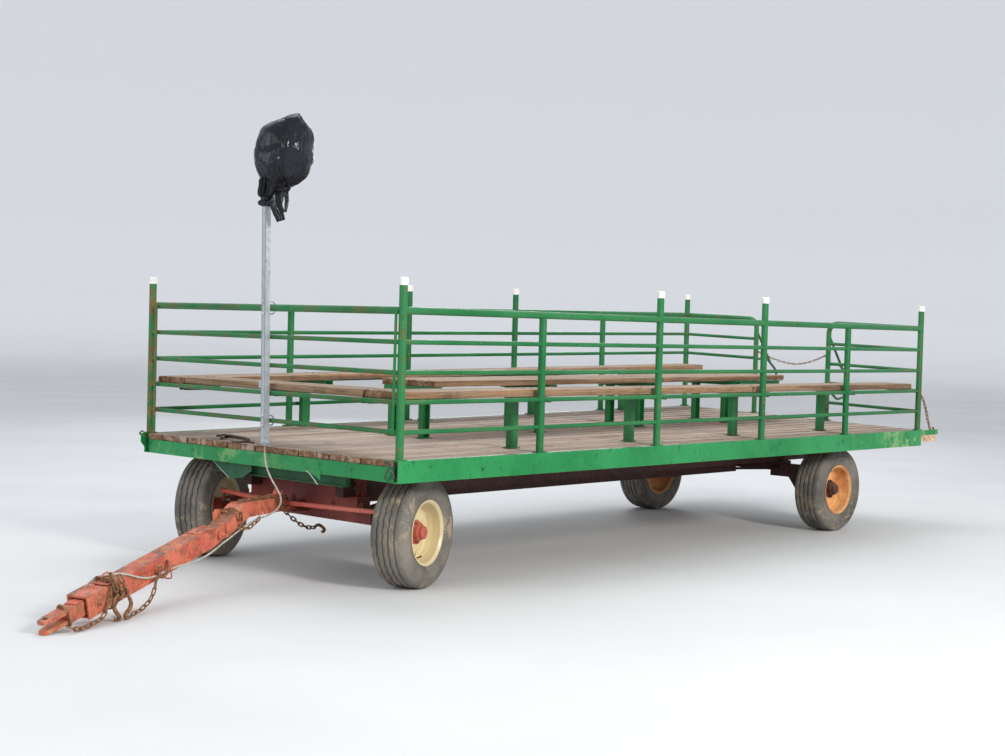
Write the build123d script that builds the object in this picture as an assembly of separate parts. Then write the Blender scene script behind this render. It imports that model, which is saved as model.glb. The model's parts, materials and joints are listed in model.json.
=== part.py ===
from build123d import *
import os
from math import sin, cos, tan, asin, radians, degrees, atan2, hypot, pi

os.makedirs("parts", exist_ok=True)

# ---------------------------------------------------------------------------
# Hay wagon with a slatted deck, tube side panels, benches and a four-wheel
# running gear with a steered front axle and a pitching tongue.
# Millimetres.  +X forward (tongue), +Y left, +Z up, ground at Z = 0.
# X values below count from the middle of the deck and Z values from a base
# line BASE_Z above the ground; SHIFT_X moves the finished wagon so that X = 0
# is the middle of its overall length.
# The bed stands twisted: it rises towards its rear right corner.
# ---------------------------------------------------------------------------
BASE_Z = 12.0
DECK_L = 6100.0          # deck length
DECK_W = 2490.0          # over the side channels
DECK_TOP = 800.0         # top of the planks
CH_H, CH_F, CH_T = 130.0, 45.0, 6.0      # side channel height, flange, thickness
PLANK_T = 38.0
PLANK_N, PLANK_GAP = 17, 3.0
CM_Z0 = DECK_TOP - CH_H + CH_T + 1.0     # cross members stand on the bottom flange
CM_Z1 = DECK_TOP - PLANK_T - 2.5
SILL_Y, SILL_W, SILL_Z0 = 450.0, 76.0, 505.0

POST_R, TOP_R, RAIL_R = 24.15, 22.0, 14.0
POST_Y = DECK_W / 2 - POST_R - 0.5
END_X = DECK_L / 2 - 30.0                # corner posts
TOP_Z = DECK_TOP + 860.0                 # centre of the top rail
RAIL_ZS = [DECK_TOP + h for h in (680.0, 504.0, 333.0, 161.0)]
CAP_TOP = DECK_TOP + 1051.0
CAP_H, CAP_R = 46.0, 27.5
LEFT_POSTS = [(END_X, 1), (1810.0, 0), (607.0, 1), (-664.0, 1), (-1847.0, 0), (-END_X, 1)]   # x, capped
RIGHT_POSTS = [(END_X, 1), (1818.0, 0), (630.0, 1), (-602.0, 1), (-1762.0, 0), (-END_X, 1)]
GATE_RIGHT_Y, GATE_LEFT_Y = -432.0, 330.0      # the two posts beside the rear opening
BEND_R = 85.0

TWIST = 5.2e-6                                  # rise per mm behind the front posts and per mm right of the left posts

BENCH_Z0, BENCH_Z1 = 1147.0, 1193.0
BENCH_IN, BENCH_OUT = 885.0, 1170.0            # |y| of the side benches' edges
CENTRE_Z0, CENTRE_Z1 = 1161.0, 1203.0          # at the front end of the centre bench
# front faces of the bench frames
LEFT_FRAMES = [1770.0, 560.0, -700.0, -1935.0]
CENTRE_FRAMES = [1745.0, 560.0, -628.0, -1790.0]
RIGHT_FRAMES = [1769.0, 534.0, -726.0, -1941.0]

AXLE_FX, AXLE_RX = 2648.0, -2128.0             # front and rear axle
WHEEL_R, WHEEL_HALF = 338.0, 123.5             # tyre outer radius, half width
WHEEL_Y = 909.0
KING_Y = 700.0                                 # kingpins of the front axle
WHEEL_OFF = WHEEL_Y - KING_Y
HUB_Z = WHEEL_R - BASE_Z
RIM_LIP_R, RIM_HALF = 200.0, 105.0
SPINDLE_R = 22.0
RUN = 0.3                                      # clearance round a pin

STEER = 20.0                                   # the steering head stands turned this far to the left
TOE = {1: -3.0, -1: 4.5}                       # worn toe of the left and right front wheel
HEAD_X = AXLE_FX + 135.0                       # vertical pin of the steering head
ARM_R, ARM_T = 150.0, 35.0                     # tie-rod studs, ahead of and beside the pins
HEAD_Z0, HEAD_Z1 = 400.0, 480.0
HEAD_END = 930.0                               # tongue hinge pin, ahead of the head pin
HINGE_Z = 330.0
TONGUE_L = 1233.0                              # hinge pin to end of the tongue box
TIP_L = 1540.0                                 # hinge pin to the hitch tip
TONGUE_W, TONGUE_H = 112.0, 112.0

REAR_LOOP_X = -3385.0                          # rearmost point of the boarding hoops
POLE_X, POLE_Y = 3063.0, 57.0                  # foot of the pole
POLE_A, POLE_LEAN = 38.0, 1.4                  # square tube, leaning this far to the right
POLE_Z0, POLE_Z1 = 820.0, 2335.0
BAG_C = (3028.0, 148.0, 2613.0)

nodes = {}


def put(name, shape):
    nodes.setdefault(name, []).extend(shape if isinstance(shape, list) else [shape])


def bx(x0, x1, y0, y1, z0, z1):
    return Pos((x0 + x1) / 2, (y0 + y1) / 2, (z0 + z1) / 2) * Box(abs(x1 - x0), abs(y1 - y0), abs(z1 - z0))


def rod(p, q, r):
    # straight round bar from p to q
    p, q = Vector(*p), Vector(*q)
    d = q - p
    return Solid.make_cylinder(r, d.length, Plane(origin=p, z_dir=d.normalized()))


def prism(points, axis, a0, a1):
    # polygon extruded along an axis: "x" uses (y, z), "y" uses (x, z), "z" uses (x, y)
    plane = {"x": Plane(origin=(a0, 0, 0), x_dir=(0, 1, 0), z_dir=(1, 0, 0)),
             "y": Plane(origin=(0, a0, 0), x_dir=(1, 0, 0), z_dir=(0, -1, 0)),
             "z": Plane(origin=(0, 0, a0), x_dir=(1, 0, 0), z_dir=(0, 0, 1))}[axis]
    face = plane * make_face(Polyline(*points, close=True).edges())
    d = {"x": (1, 0, 0), "y": (0, 1, 0), "z": (0, 0, 1)}[axis]
    return extrude(face, amount=abs(a1 - a0), dir=Vector(*d) * (1 if a1 > a0 else -1))


def lift(x, y):
    # how far the twisted bed stands above its level front left corner
    return TWIST * max(0.0, END_X - x) * max(0.0, POST_Y - y)


def up(x, y, z):
    return (x, y, z + lift(x, y))


def tilt_y(shape, y):
    # lengthwise piece at y follows the twist
    return Pos(END_X, 0, DECK_TOP) * Rot(0, degrees(atan2(TWIST * (POST_Y - y), 1.0)), 0) * Pos(-END_X, 0, -DECK_TOP) * shape


def tilt_x(shape, x):
    # crosswise piece at x follows the twist
    return Pos(0, POST_Y, DECK_TOP) * Rot(-degrees(atan2(TWIST * (END_X - x), 1.0)), 0, 0) * Pos(0, -POST_Y, -DECK_TOP) * shape


def bent(points, radii, r):
    # round tube along straight runs joined by tangent arcs
    path = FilletPolyline(*points, radius=radii) if len(points) > 2 else Polyline(*points)
    start = Plane(origin=path @ 0, z_dir=path % 0)
    return sweep(start * Circle(r), path=path)


def chan_y(x, sgn, z0, z1, y0, y1, flange, t):
    # channel section running along Y, web at x, flanges towards sgn
    x1 = x + sgn * flange
    web = bx(x, x + sgn * t, y0, y1, z0, z1)
    return web + bx(x, x1, y0, y1, z0, z0 + t) + bx(x, x1, y0, y1, z1 - t, z1)


# ---- deck ------------------------------------------------------------------
inner_y = DECK_W / 2 - CH_F - 2.0
pitch = (2 * inner_y + PLANK_GAP) / PLANK_N
for i in range(PLANK_N):
    y0 = -inner_y + i * pitch
    ragged = (0, 6, 2, 9, 4, 1, 7, 3, 10, 5, 0, 8, 2, 6, 1, 4, 3)[i]      # rough sawn ends
    plank = bx(-DECK_L / 2 + 8, DECK_L / 2 - ragged, y0, y0 + pitch - PLANK_GAP, DECK_TOP - PLANK_T, DECK_TOP)
    put("deck_planks", tilt_y(plank, y0 + (pitch - PLANK_GAP) / 2))

for name, s in (("side_channel_left", 1), ("side_channel_right", -1)):
    yw = s * DECK_W / 2
    c = bx(-DECK_L / 2, DECK_L / 2, yw, yw - s * CH_T, DECK_TOP - CH_H, DECK_TOP)
    c += bx(-DECK_L / 2, DECK_L / 2, yw, yw - s * CH_F, DECK_TOP - CH_T, DECK_TOP)
    c += bx(-DECK_L / 2, DECK_L / 2, yw, yw - s * CH_F, DECK_TOP - CH_H, DECK_TOP - CH_H + CH_T)
    # stiffening gusset in the open front end
    g = prism([(yw - s * CH_T, DECK_TOP - CH_T), (yw - s * (CH_F - 2), DECK_TOP - CH_H + CH_T),
               (yw - s * CH_T, DECK_TOP - CH_H + CH_T)], "x", DECK_L / 2 - 34, DECK_L / 2 - 28)
    put(name, c + g if s > 0 else tilt_y(c + g, -DECK_W / 2 + CH_F))

put("front_channel", chan_y(DECK_L / 2 - 10, -1, DECK_TOP - CH_H, CM_Z1, -inner_y, inner_y, 45, 6))
put("rear_channel", tilt_x(chan_y(-DECK_L / 2, 1, DECK_TOP - CH_H, CM_Z1, -inner_y + 6, inner_y, 45, 6)
    + bx(-DECK_L / 2, -DECK_L / 2 + 6, -inner_y + 6, inner_y, CM_Z1 - 1, DECK_TOP), -DECK_L / 2))

cm_y = DECK_W / 2 - CH_T
CROSS_XS = [2560.0, 2010.0, 1405.0, 800.0, 195.0, -410.0, -1015.0, -1620.0, -2225.0, -2760.0]
for x in CROSS_XS:
    put("cross_members", tilt_x(chan_y(x, -1, CM_Z0, CM_Z1, -cm_y + 6, cm_y - 1, 40, 5), x))
# deep cross beam between the front channel and the ends of the sills
put("cross_members", bx(2872, 2908, -640, 640, 590, CM_Z1 - 1) + bx(2872, 2930, -640, 640, 590, 596))

for s in (1, -1):
    put("sills", tilt_y(bx(-2900, 2790, s * (SILL_Y - SILL_W / 2), s * (SILL_Y + SILL_W / 2), SILL_Z0, CM_Z0 - 1.5), s * SILL_Y))

# ---- side panels -----------------------------------------------------------
CROSS = [(TOP_Z, TOP_R)] + [(z, RAIL_R) for z in RAIL_ZS]     # height, radius of each rail
for side, s, table in (("left", 1, LEFT_POSTS), ("right", -1, RIGHT_POSTS)):
    y = s * POST_Y
    for z, r in CROSS:
        put("rails_" + side, rod(up(-END_X + 0.5, y, z), up(END_X - 0.5, y, z), r))
    for x, capped in table:
        dz = lift(x, y)
        base = DECK_TOP + (dz + 0.6 if s < 0 else lift(x, POST_Y - 92) + 0.3)
        top = (CAP_TOP - 6 if capped else TOP_Z - 18) + dz
        p = rod((x, y, base), (x, y, top), POST_R)
        foot = bx(x - 42, x + 42, y - s * 22, y + s * 22, base, base + 7)
        p = p + foot
        for z, r in CROSS:
            if abs(x) < END_X:
                p -= rod(up(x - 60, y, z), up(x + 60, y, z), r)
            else:
                xi = x - (60 if x > 0 else -60)
                xo = x - (0.5 if x > 0 else -0.5)
                p -= rod(up(xi, y, z), up(xo, y, z), r)
        put("posts_" + side, p)
        if capped:
            cap = Pos(x, y, CAP_TOP - CAP_H / 2 + dz) * Cylinder(CAP_R, CAP_H)
            cap = fillet(cap.edges().sort_by(Axis.Z)[-1], 7)
            cap -= rod((x, y, CAP_TOP - CAP_H - 1 + dz), (x, y, CAP_TOP - 6 + dz), POST_R)
            put("post_caps", cap)

for z, r in CROSS:
    # front panel, between the corner posts
    f = rod((END_X, -POST_Y + 2, z), (END_X, POST_Y - 2, z), r)
    for s in (1, -1):
        f -= rod((END_X, s * POST_Y, z - 60), (END_X, s * POST_Y, z + 60), POST_R)
        f -= rod((END_X - 60, s * POST_Y, z), (END_X, s * POST_Y, z), r)
    put("rails_front", f)

# rear panels: the top rail turns down beside the opening
for side, s, yg in (("left", 1, GATE_LEFT_Y), ("right", -1, GATE_RIGHT_Y)):
    x = -END_X
    y0 = s * (POST_Y - POST_R * 0.6)
    base = DECK_TOP + lift(x, yg) + 3.5
    dz = lift(x, s * POST_Y)
    frame = bent([up(x, y0, TOP_Z), up(x, yg, TOP_Z), (x, yg, base)], [BEND_R], TOP_R)
    frame -= rod((x, s * POST_Y, TOP_Z - 80), (x, s * POST_Y, TOP_Z + 180), POST_R)
    frame -= rod(up(x - 30, s * POST_Y, TOP_Z), up(x + 60, s * POST_Y, TOP_Z), TOP_R)
    frame += bx(x - 30, x + 30, yg - 32, yg + 32, base, base + 7)
    put("gate_frames", frame)
    for z in RAIL_ZS:
        r_ = rod(up(x, yg, z), up(x, s * POST_Y, z), RAIL_R)
        r_ -= rod((x, yg, z - 60), (x, yg, z + 120), TOP_R)
        r_ -= rod((x, s * POST_Y, z - 60), (x, s * POST_Y, z + 180), POST_R)
        put("rails_rear", r_)

# boarding handrails behind the opening posts: x, z of the sloping bar and of the hoop
SLOPE = [(-3030.0, 1548.0), (-3262.0, 1262.0)]
HOOP = [(-3034.0, 1297.0), (-3215.0, 1293.0), (-3372.0, 1185.0), (-3350.0, 1010.0), (-3190.0, 985.0), (-3034.0, 1075.0)]
HAND_R = 11.0
for side, yg in (("left", GATE_LEFT_Y), ("right", GATE_RIGHT_Y)):
    dz = lift(-END_X, yg)
    bar = rod((SLOPE[0][0], yg, SLOPE[0][1] + dz), (SLOPE[1][0], yg, SLOPE[1][1] + dz), HAND_R)
    hoop = bent([(x, yg, z + dz) for x, z in HOOP], [60.0, 70.0, 70.0, 60.0], HAND_R)
    h = bar + hoop
    h -= rod((-END_X, yg, 900), (-END_X, yg, 1640), TOP_R)
    put("boarding_handrails", h)

# ---- benches ---------------------------------------------------------------
R_TILT, C_TILT = 0.885, 0.335                    # the right and centre benches rise rearwards with the bed
CENTRE_L, CENTRE_R = 205.0, -315.0               # edges of the centre bench
CENTRE_X0, CENTRE_X1 = -2520.0, 1750.0
put("bench_left", bx(-2998, 2998, BENCH_IN, BENCH_OUT, BENCH_Z0, BENCH_Z1))
put("bench_right", Pos(2660, 0, BENCH_Z1) * Rot(0, R_TILT, 0) * Pos(-2660, 0, -BENCH_Z1) * bx(-2845, 3008, -BENCH_OUT, -BENCH_IN, BENCH_Z0, BENCH_Z1))
put("bench_front", bx(2715, 3000, -BENCH_IN + 3, BENCH_IN - 3, BENCH_Z0, BENCH_Z1))
put("bench_centre", Pos(CENTRE_X1, 0, CENTRE_Z1) * Rot(0, C_TILT, 0) * Pos(-CENTRE_X1, 0, -CENTRE_Z1)
    * bx(CENTRE_X0, CENTRE_X1, CENTRE_R, CENTRE_L, CENTRE_Z0, CENTRE_Z1))

BEARER_W, BEARER_H = 76.0, 36.0


def bench_frame(x, y0, y1, z1, legs):
    # crosswise channel bearer, its front face at x, on channel uprights: each has its web at y, its
    # open side towards d and a foot plate at z0
    b = bx(x - BEARER_W, x, y0, y1, z1 - 5, z1)
    b += bx(x - 4, x, y0, y1, z1 - BEARER_H, z1) + bx(x - BEARER_W, x - BEARER_W + 4, y0, y1, z1 - BEARER_H, z1)
    for y, d, z0 in legs:
        b += bx(x - BEARER_W + 4, x - 4, y, y + d * 4, z0, z1 - 2)
        for xe in (x - 4, x - BEARER_W + 8):
            b += bx(xe - 4, xe, y, y + d * 42, z0, z1 - 2)
        b += bx(x - 90, x + 14, y - d * 8, y + d * 56, z0, z0 + 6)
    return b


def floor_z(x, y):
    # highest plank under a foot plate
    return DECK_TOP + lift(x - 95, y - 80) + 0.3


for x in LEFT_FRAMES:
    put("bench_legs_left", bench_frame(x, BENCH_IN, 1205, BENCH_Z0, [(BENCH_IN + 47, -1, floor_z(x, BENCH_IN))]))
for i, x in enumerate(CENTRE_FRAMES):
    zb = CENTRE_Z0 + (CENTRE_X1 - x) * tan(radians(C_TILT)) - 0.4
    fr = bench_frame(x, CENTRE_R + 24, CENTRE_L, zb, [(53.0, 1, floor_z(x, 53)), (-249.0, 1, floor_z(x, -249))])
    if i == 3:
        # lengthwise stiffener under the rear end
        fr += bx(-2505, x - BEARER_W + 1, CENTRE_L - 44, CENTRE_L - 40, zb - 32, zb) + bx(-2505, x - BEARER_W + 1, CENTRE_L - 44, CENTRE_L - 4, zb - 4, zb)
    put("bench_legs_centre", fr)
for x in RIGHT_FRAMES:
    zb = BENCH_Z0 + (2660 - x) * tan(radians(R_TILT)) - 0.6
    put("bench_legs_right", bench_frame(x, -1205, -BENCH_IN, zb, [(-BENCH_OUT + 42, -1, floor_z(x, -1180))]))
for y0, y1, dz in ((-920.0, -860.0, 6.0), (10.0, 70.0, 0.0), (870.0, 930.0, 0.0)):
    # arms of the front bench, channels that reach the third rail
    z1 = BENCH_Z0 - dz
    br = bx(2715, 3005, y0, y1, z1 - 5, z1)
    for y in (y0, y1 - 5):
        br += bx(2715, 3005, y, y + 5, z1 - 36, z1)
    put("bench_legs_front", br)

# ---- pole with its bag -----------------------------------------------------
PA = POLE_A / 2
POLE_AX = Pos(POLE_X, POLE_Y, POLE_Z0) * Rot(POLE_LEAN, 0, 0)      # its own frame, foot at the origin
PL = (POLE_Z1 - POLE_Z0) / cos(radians(POLE_LEAN))
pole = bx(-PA, PA, -PA, PA, 0, PL) - bx(-PA + 2.5, PA - 2.5, -PA + 2.5, PA - 2.5, -1, PL + 1)
pole = POLE_AX * pole
clamps = []
for z, r, w in ((TOP_Z, TOP_R, 39.0), (RAIL_ZS[3], RAIL_R, 30.0)):
    # U-bolt round the rail, its ends through the pole
    yb = POLE_Y - (z - POLE_Z0) * tan(radians(POLE_LEAN))
    xb = END_X - r - 13
    clamps.append(bent([(POLE_X + PA + 16, yb, z + w), (xb, yb, z + w), (xb, yb, z - w), (POLE_X + PA + 16, yb, z - w)], [w - 4, w - 4], 4.5))
    for k in (w, -w):
        pole -= rod((POLE_X - 40, yb, z + k), (POLE_X + 40, yb, z + k), 5)
yb = POLE_Y - (BENCH_Z1 - 8 - POLE_Z0) * tan(radians(POLE_LEAN)) - PA
clamps.append(bx(POLE_X - 14, POLE_X + 14, yb - 26, yb - 1.5, BENCH_Z1 - 30, BENCH_Z1 + 14))
put("pole", pole)
put("pole_clamps", clamps)
top = POLE_AX * Pos(0, 0, PL)
bag = Pos(*BAG_C) * scale(Sphere(1), by=(185, 196, 232))
bag += top * Pos(-4, 8, 66) * Cone(55, 100, 132)
bag -= POLE_AX * bx(-PA - 0.5, PA + 0.5, -PA - 0.5, PA + 0.5, 0, PL + 0.5)
put("lamp_bag", bag)

# ---- rear corner -----------------------------------------------------------
# an angle that stands out behind the deck, with a wood block under it
STEP_L, BLOCK_L = 305.0, 285.0
put("rear_corner_step", bx(-DECK_L / 2 - STEP_L, -DECK_L / 2, 1120, 1235, DECK_TOP - 44, DECK_TOP - 38)
    + bx(-DECK_L / 2 - STEP_L, -DECK_L / 2, 1229, 1235, DECK_TOP - 44, DECK_TOP - 2)
    + bx(-DECK_L / 2 - 6, -DECK_L / 2, 1120, 1235, DECK_TOP - CH_H, DECK_TOP - 38))
put("rear_corner_block", bx(-DECK_L / 2 - BLOCK_L, -DECK_L / 2 - 7, 1128, 1228, DECK_TOP - 102, DECK_TOP - 44.5))

# ---- running gear fixed to the deck ---------------------------------------
fa = bx(AXLE_FX - 48, AXLE_FX + 48, -640, 640, 345, 428)
for s in (1, -1):
    fa += bx(AXLE_FX - 32, AXLE_FX + 32, s * 630, s * KING_Y, 334, 374)
    fa += Pos(AXLE_FX, s * KING_Y, 326) * Cylinder(36, 96)
    fa += Pos(AXLE_FX, s * KING_Y, 326) * Cylinder(13, 170)
# forward bracket that carries the steering head's pin
fa += bx(AXLE_FX + 48, HEAD_X, -60, 60, 378, 395) + Pos(HEAD_X, 0, 386.5) * Cylinder(42, 17)
fa += bx(AXLE_FX + 56, HEAD_X, -42, 42, 430, 442) + Pos(HEAD_X, 0, 436) * Cylinder(42, 12)
fa += bx(AXLE_FX + 48, AXLE_FX + 64, -42, 42, 378, 427.5) + bx(AXLE_FX + 56, AXLE_FX + 64, -42, 42, 420, 442)
fa += Pos(HEAD_X, 0, 414) * Cylinder(16, 84)
put("front_axle", fa)

def seat(x, half, z0):
    # bolster along Y whose top meets the two sills where the bed has lifted them
    zl, zr = (SILL_Z0 + lift(x + half, s_ * SILL_Y) - 0.3 for s_ in (1, -1))
    return prism([(-520, z0), (520, z0), (520, zl), (400, zl), (-400, zr), (-520, zr)], "x", x - half, x + half)


fb = seat(AXLE_FX, 55, 428)
# upright plate between the sills
fb += bx(AXLE_FX + 43, AXLE_FX + 55, -(SILL_Y - SILL_W / 2 - 1), SILL_Y - SILL_W / 2 - 1, 470, 578)
for s in (1, -1):
    ys = s * (SILL_Y + SILL_W / 2 + 1)
    fb += bx(AXLE_FX - 40, AXLE_FX + 40, ys, ys + s * 12, 428, 640)
    fb += prism([(ys + s * 12, 470), (ys + s * 12, 600), (s * 519, 505), (s * 519, 470)], "x", AXLE_FX - 5, AXLE_FX + 5)
put("front_bolster", fb)

ra = bx(AXLE_RX - 50, AXLE_RX + 50, -640, 640, 440, 498) + seat(AXLE_RX, 50, 470)
for s in (1, -1):
    ra += bx(AXLE_RX - 50, AXLE_RX + 50, s * 385, s * 640, 395, 445)
    ra += prism([(s * 600, 445), (s * 655, 445), (s * 680, 290), (s * 640, 290), (s * 560, 395)], "x", AXLE_RX - 45, AXLE_RX + 45)
    ra += rod((AXLE_RX, s * 650, HUB_Z), (AXLE_RX, s * 740, HUB_Z), 34)
    ra += rod((AXLE_RX, s * 650, HUB_Z), (AXLE_RX, s * (WHEEL_Y + 48), HUB_Z), SPINDLE_R)
    ys = s * (SILL_Y + SILL_W / 2 + 1)
    ra += bx(AXLE_RX - 40, AXLE_RX + 40, ys, ys + s * 12, 440, 640)
put("rear_axle", ra)

put("reach_pole", bx(AXLE_RX + 50, AXLE_FX - 56, -38, 38, 400, 476))
for s in (1, -1):
    h = prism([(AXLE_RX + 50, s * 420), (AXLE_RX + 50, s * 480), (AXLE_RX + 900, s * 60), (AXLE_RX + 820, s * 38.5)], "z", 452, 468)
    put("braces", h)
    h = prism([(AXLE_FX - 48, s * 420), (AXLE_FX - 48, s * 480), (AXLE_FX - 800, s * 60), (AXLE_FX - 720, s * 38.5)], "z", 402, 418)
    put("braces", h)

# ---- steering head (local frame: pin at the origin, x ahead) ---------------
HEAD = Pos(HEAD_X, 0, 0) * Rot(0, 0, STEER)


def place(loc, shape):
    return [loc * s for s in (shape if isinstance(shape, list) else [shape])]


hd = Pos(0, 0, 412.5) * Cylinder(40, 25)
hd += prism([(0, -40), (ARM_R - 20, -62), (ARM_R + 30, -62), (300, -45), (300, 45), (ARM_R + 30, 62), (ARM_R - 20, 62), (0, 40)],
            "z", 400, 425)
hd -= rod((0, 0, 390), (0, 0, 440), 16 + RUN)
hd += prism([(ARM_R + 42, HEAD_Z0), (600, HEAD_Z0), (HEAD_END - 80, HINGE_Z - 30), (HEAD_END - 80, HINGE_Z + 55), (660, HEAD_Z1), (ARM_R + 42, HEAD_Z1)],
            "y", -56, 56)
# nose that carries the hinge pin, rounded about it
hd += prism([(HEAD_END - 160, HINGE_Z + 60), (HEAD_END - 80, HINGE_Z + 55), (HEAD_END, HINGE_Z + 34), (HEAD_END, HINGE_Z - 34), (HEAD_END - 80, HINGE_Z - 30),
             (HEAD_END - 160, HINGE_Z)], "y", -44, 44)
hd += rod((HEAD_END, -44, HINGE_Z), (HEAD_END, 44, HINGE_Z), 34)
hd -= rod((HEAD_END, -60, HINGE_Z), (HEAD_END, 60, HINGE_Z), 12 + RUN)
# top plate, stepped on the right
hd += prism([(ARM_R + 30, -62), (520, -75), (520, -56), (640, -56), (640, 56), (300, 62), (ARM_R + 30, 58)], "z", HEAD_Z1, HEAD_Z1 + 8)
for s in (1, -1):
    hd += Pos(ARM_R, s * ARM_T, 445) * Cylinder(9, 44)
# upright ear that latches the raised tongue
ear = prism([(742, HINGE_Z + 60), (826, HINGE_Z + 60), (826, 440), (808, 458), (764, 458), (742, 438)], "y", -56, -46)
ear -= rod((784, -60, 428), (784, -30, 428), 9)
hd += ear
put("steering_head", place(HEAD, hd))

# ---- tongue (local frame: hinge pin at the origin, x along the beam) -------
FORK_H = 36.0                                  # half height of the hitch fork, whose tip stands on the ground
TONGUE_PITCH = degrees(asin((HINGE_Z + BASE_Z) / hypot(TIP_L, FORK_H)) - atan2(FORK_H, TIP_L))
TONGUE = HEAD * Pos(HEAD_END, 0, HINGE_Z) * Rot(0, TONGUE_PITCH, 0)
hw, hh, wt = TONGUE_W / 2, TONGUE_H / 2, 8.0
tg = bx(70, TONGUE_L, -hw, hw, -hh, hh) - bx(60, TONGUE_L + 10, -hw + wt, hw - wt, -hh + wt, hh - wt)
for s in (1, -1):
    cheek = prism([(-20, -hh + 12), (75, -hh), (75, hh), (-20, hh - 12), (-42, 20), (-42, -20)], "y", s * hw, s * (hw - wt))
    tg += cheek
# bent bar that carries the cable at the side, and the loop that holds it on top
GUIDE_X, LOOP_X = 535.0, 994.0
tg += bent([(GUIDE_X - 6, hw - 2, 10), (GUIDE_X - 6, hw + 26, 6), (GUIDE_X, hw + 28, -hh - 22), (GUIDE_X + 4, hw - 14, -hh - 24), (GUIDE_X + 4, hw - 14, -hh + 3)],
           [9, 9, 9], 4)
tg += bent([(LOOP_X - 34, 0, hh - 3), (LOOP_X - 30, 0, hh + 48), (LOOP_X + 30, 0, hh + 48), (LOOP_X + 34, 0, hh - 3)], [24, 24], 4.5)
pin = rod((0, -hw - 12, 0), (0, hw + 12, 0), 12) + rod((0, hw, 0), (0, hw + 12, 0), 18) + rod((0, -hw - 12, 0), (0, -hw, 0), 18)
put("tongue_beam", place(TONGUE, tg + pin))

# collar at the end of the beam and the sliding hitch bar with its fork
col = bx(TONGUE_L - 150, TONGUE_L + 8, -hw - 9, hw + 9, -hh - 2, hh + 9) - bx(TONGUE_L - 160, TONGUE_L + 18, -hw, hw, -hh - 3, hh)
put("tongue_collar", place(TONGUE, col))
slide_h = 76.0
hb = bx(TONGUE_L - 250, TONGUE_L + 130, -38, 38, -slide_h / 2, slide_h / 2)
for z0, z1 in ((16, 36), (-36, -16)):
    prong = prism([(TONGUE_L + 120, -38), (TIP_L - 60, -34), (TIP_L - 8, -22), (TIP_L, -10), (TIP_L, 10), (TIP_L - 8, 22), (TIP_L - 60, 34), (TONGUE_L + 120, 38)], "z", z0, z1)
    hb += prong - rod((TIP_L - 42, 0, -60), (TIP_L - 42, 0, 60), 14.3)
put("hitch_bar", place(TONGUE, hb))

# ---- knuckles, tie rods, wheels --------------------------------------------
for side, s in (("left", 1), ("right", -1)):
    K = Pos(AXLE_FX, s * KING_Y, 0) * Rot(0, 0, STEER)
    kn = Pos(0, 0, 384) * Cylinder(36, 16) + Pos(0, 0, 268) * Cylinder(36, 16)
    kn += bx(-30, 30, 0, s * 58, 376, 392) + bx(-30, 30, 0, s * 58, 260, 276)
    kn += bx(-36, 36, s * 44, s * 60, 260, 392)
    kn += rod((0, s * 50, HUB_Z), (0, s * (WHEEL_OFF - 86), HUB_Z), 34)
    kn += rod((0, s * 50, HUB_Z), (0, s * (WHEEL_OFF + 48), HUB_Z), SPINDLE_R)
    kn = Rot(0, 0, TOE[s]) * kn
    kn += prism([(-20, -22), (ARM_R - 10, s * ARM_T - 22), (ARM_R + 20, s * ARM_T - 14), (ARM_R + 20, s * ARM_T + 14),
                 (ARM_R - 10, s * ARM_T + 22), (-20, 22)], "z", 392, 406)
    kn += Pos(ARM_R, s * ARM_T, 430) * Cylinder(9, 64)
    kn -= rod((0, 0, 250), (0, 0, 420), 13 + RUN)
    put("knuckle_" + side, place(K, kn))

    # tie rod keeps its direction as the head turns
    c, t = cos(radians(STEER)), sin(radians(STEER))
    off = (ARM_R * c - s * ARM_T * t, ARM_R * t + s * ARM_T * c)
    A = (HEAD_X + off[0], off[1], 445.0)
    B = (AXLE_FX + off[0], s * KING_Y + off[1], 445.0)
    tr = rod(A, B, 15)
    for P in (A, B):
        tr -= rod((P[0], P[1], 400), (P[0], P[1], 500), 21)
        tr += Pos(*P) * Cylinder(22, 26)
        tr -= rod((P[0], P[1], 400), (P[0], P[1], 500), 9 + RUN)
    put("tie_rod_" + side, tr)


def ring(profile):
    # closed profile of (radius, w) turned about the axle, w to the outside
    face = Plane.XY * make_face(Polyline(*[(w, r) for r, w in profile], close=True).edges())
    return revolve(face, axis=Axis.X)


def tyre():
    h = WHEEL_HALF
    half_p = [(188.3, 92), (201, 100.2), (232, 116), (264, h), (292, 119), (312, 112), (326, 104), (334, 92), (WHEEL_R, 72)]
    outer = [(r, -w) for r, w in half_p] + half_p[::-1]
    return ring(outer)


def rim():
    p = [(188, -88), (188, -96), (RIM_LIP_R, -101), (RIM_LIP_R, -RIM_HALF), (192, -RIM_HALF), (180, -92), (176, -40), (150, -6), (118, 8),
         (75, 12), (75, 20), (118, 16), (152, 2), (168, 6), (178, 40), (180, 92), (192, RIM_HALF), (RIM_LIP_R, RIM_HALF), (RIM_LIP_R, 101), (188, 96), (188, 88)]
    return ring(p)


def hub():
    b = SPINDLE_R + RUN
    p = [(b, -85), (48, -85), (52, -60), (52, 11), (75, 12), (75, 20), (56, 22), (52, 55), (42, 60), (40, 80), (30, 86), (0, 86), (0, 52), (b, 52)]
    return ring(p)


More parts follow.
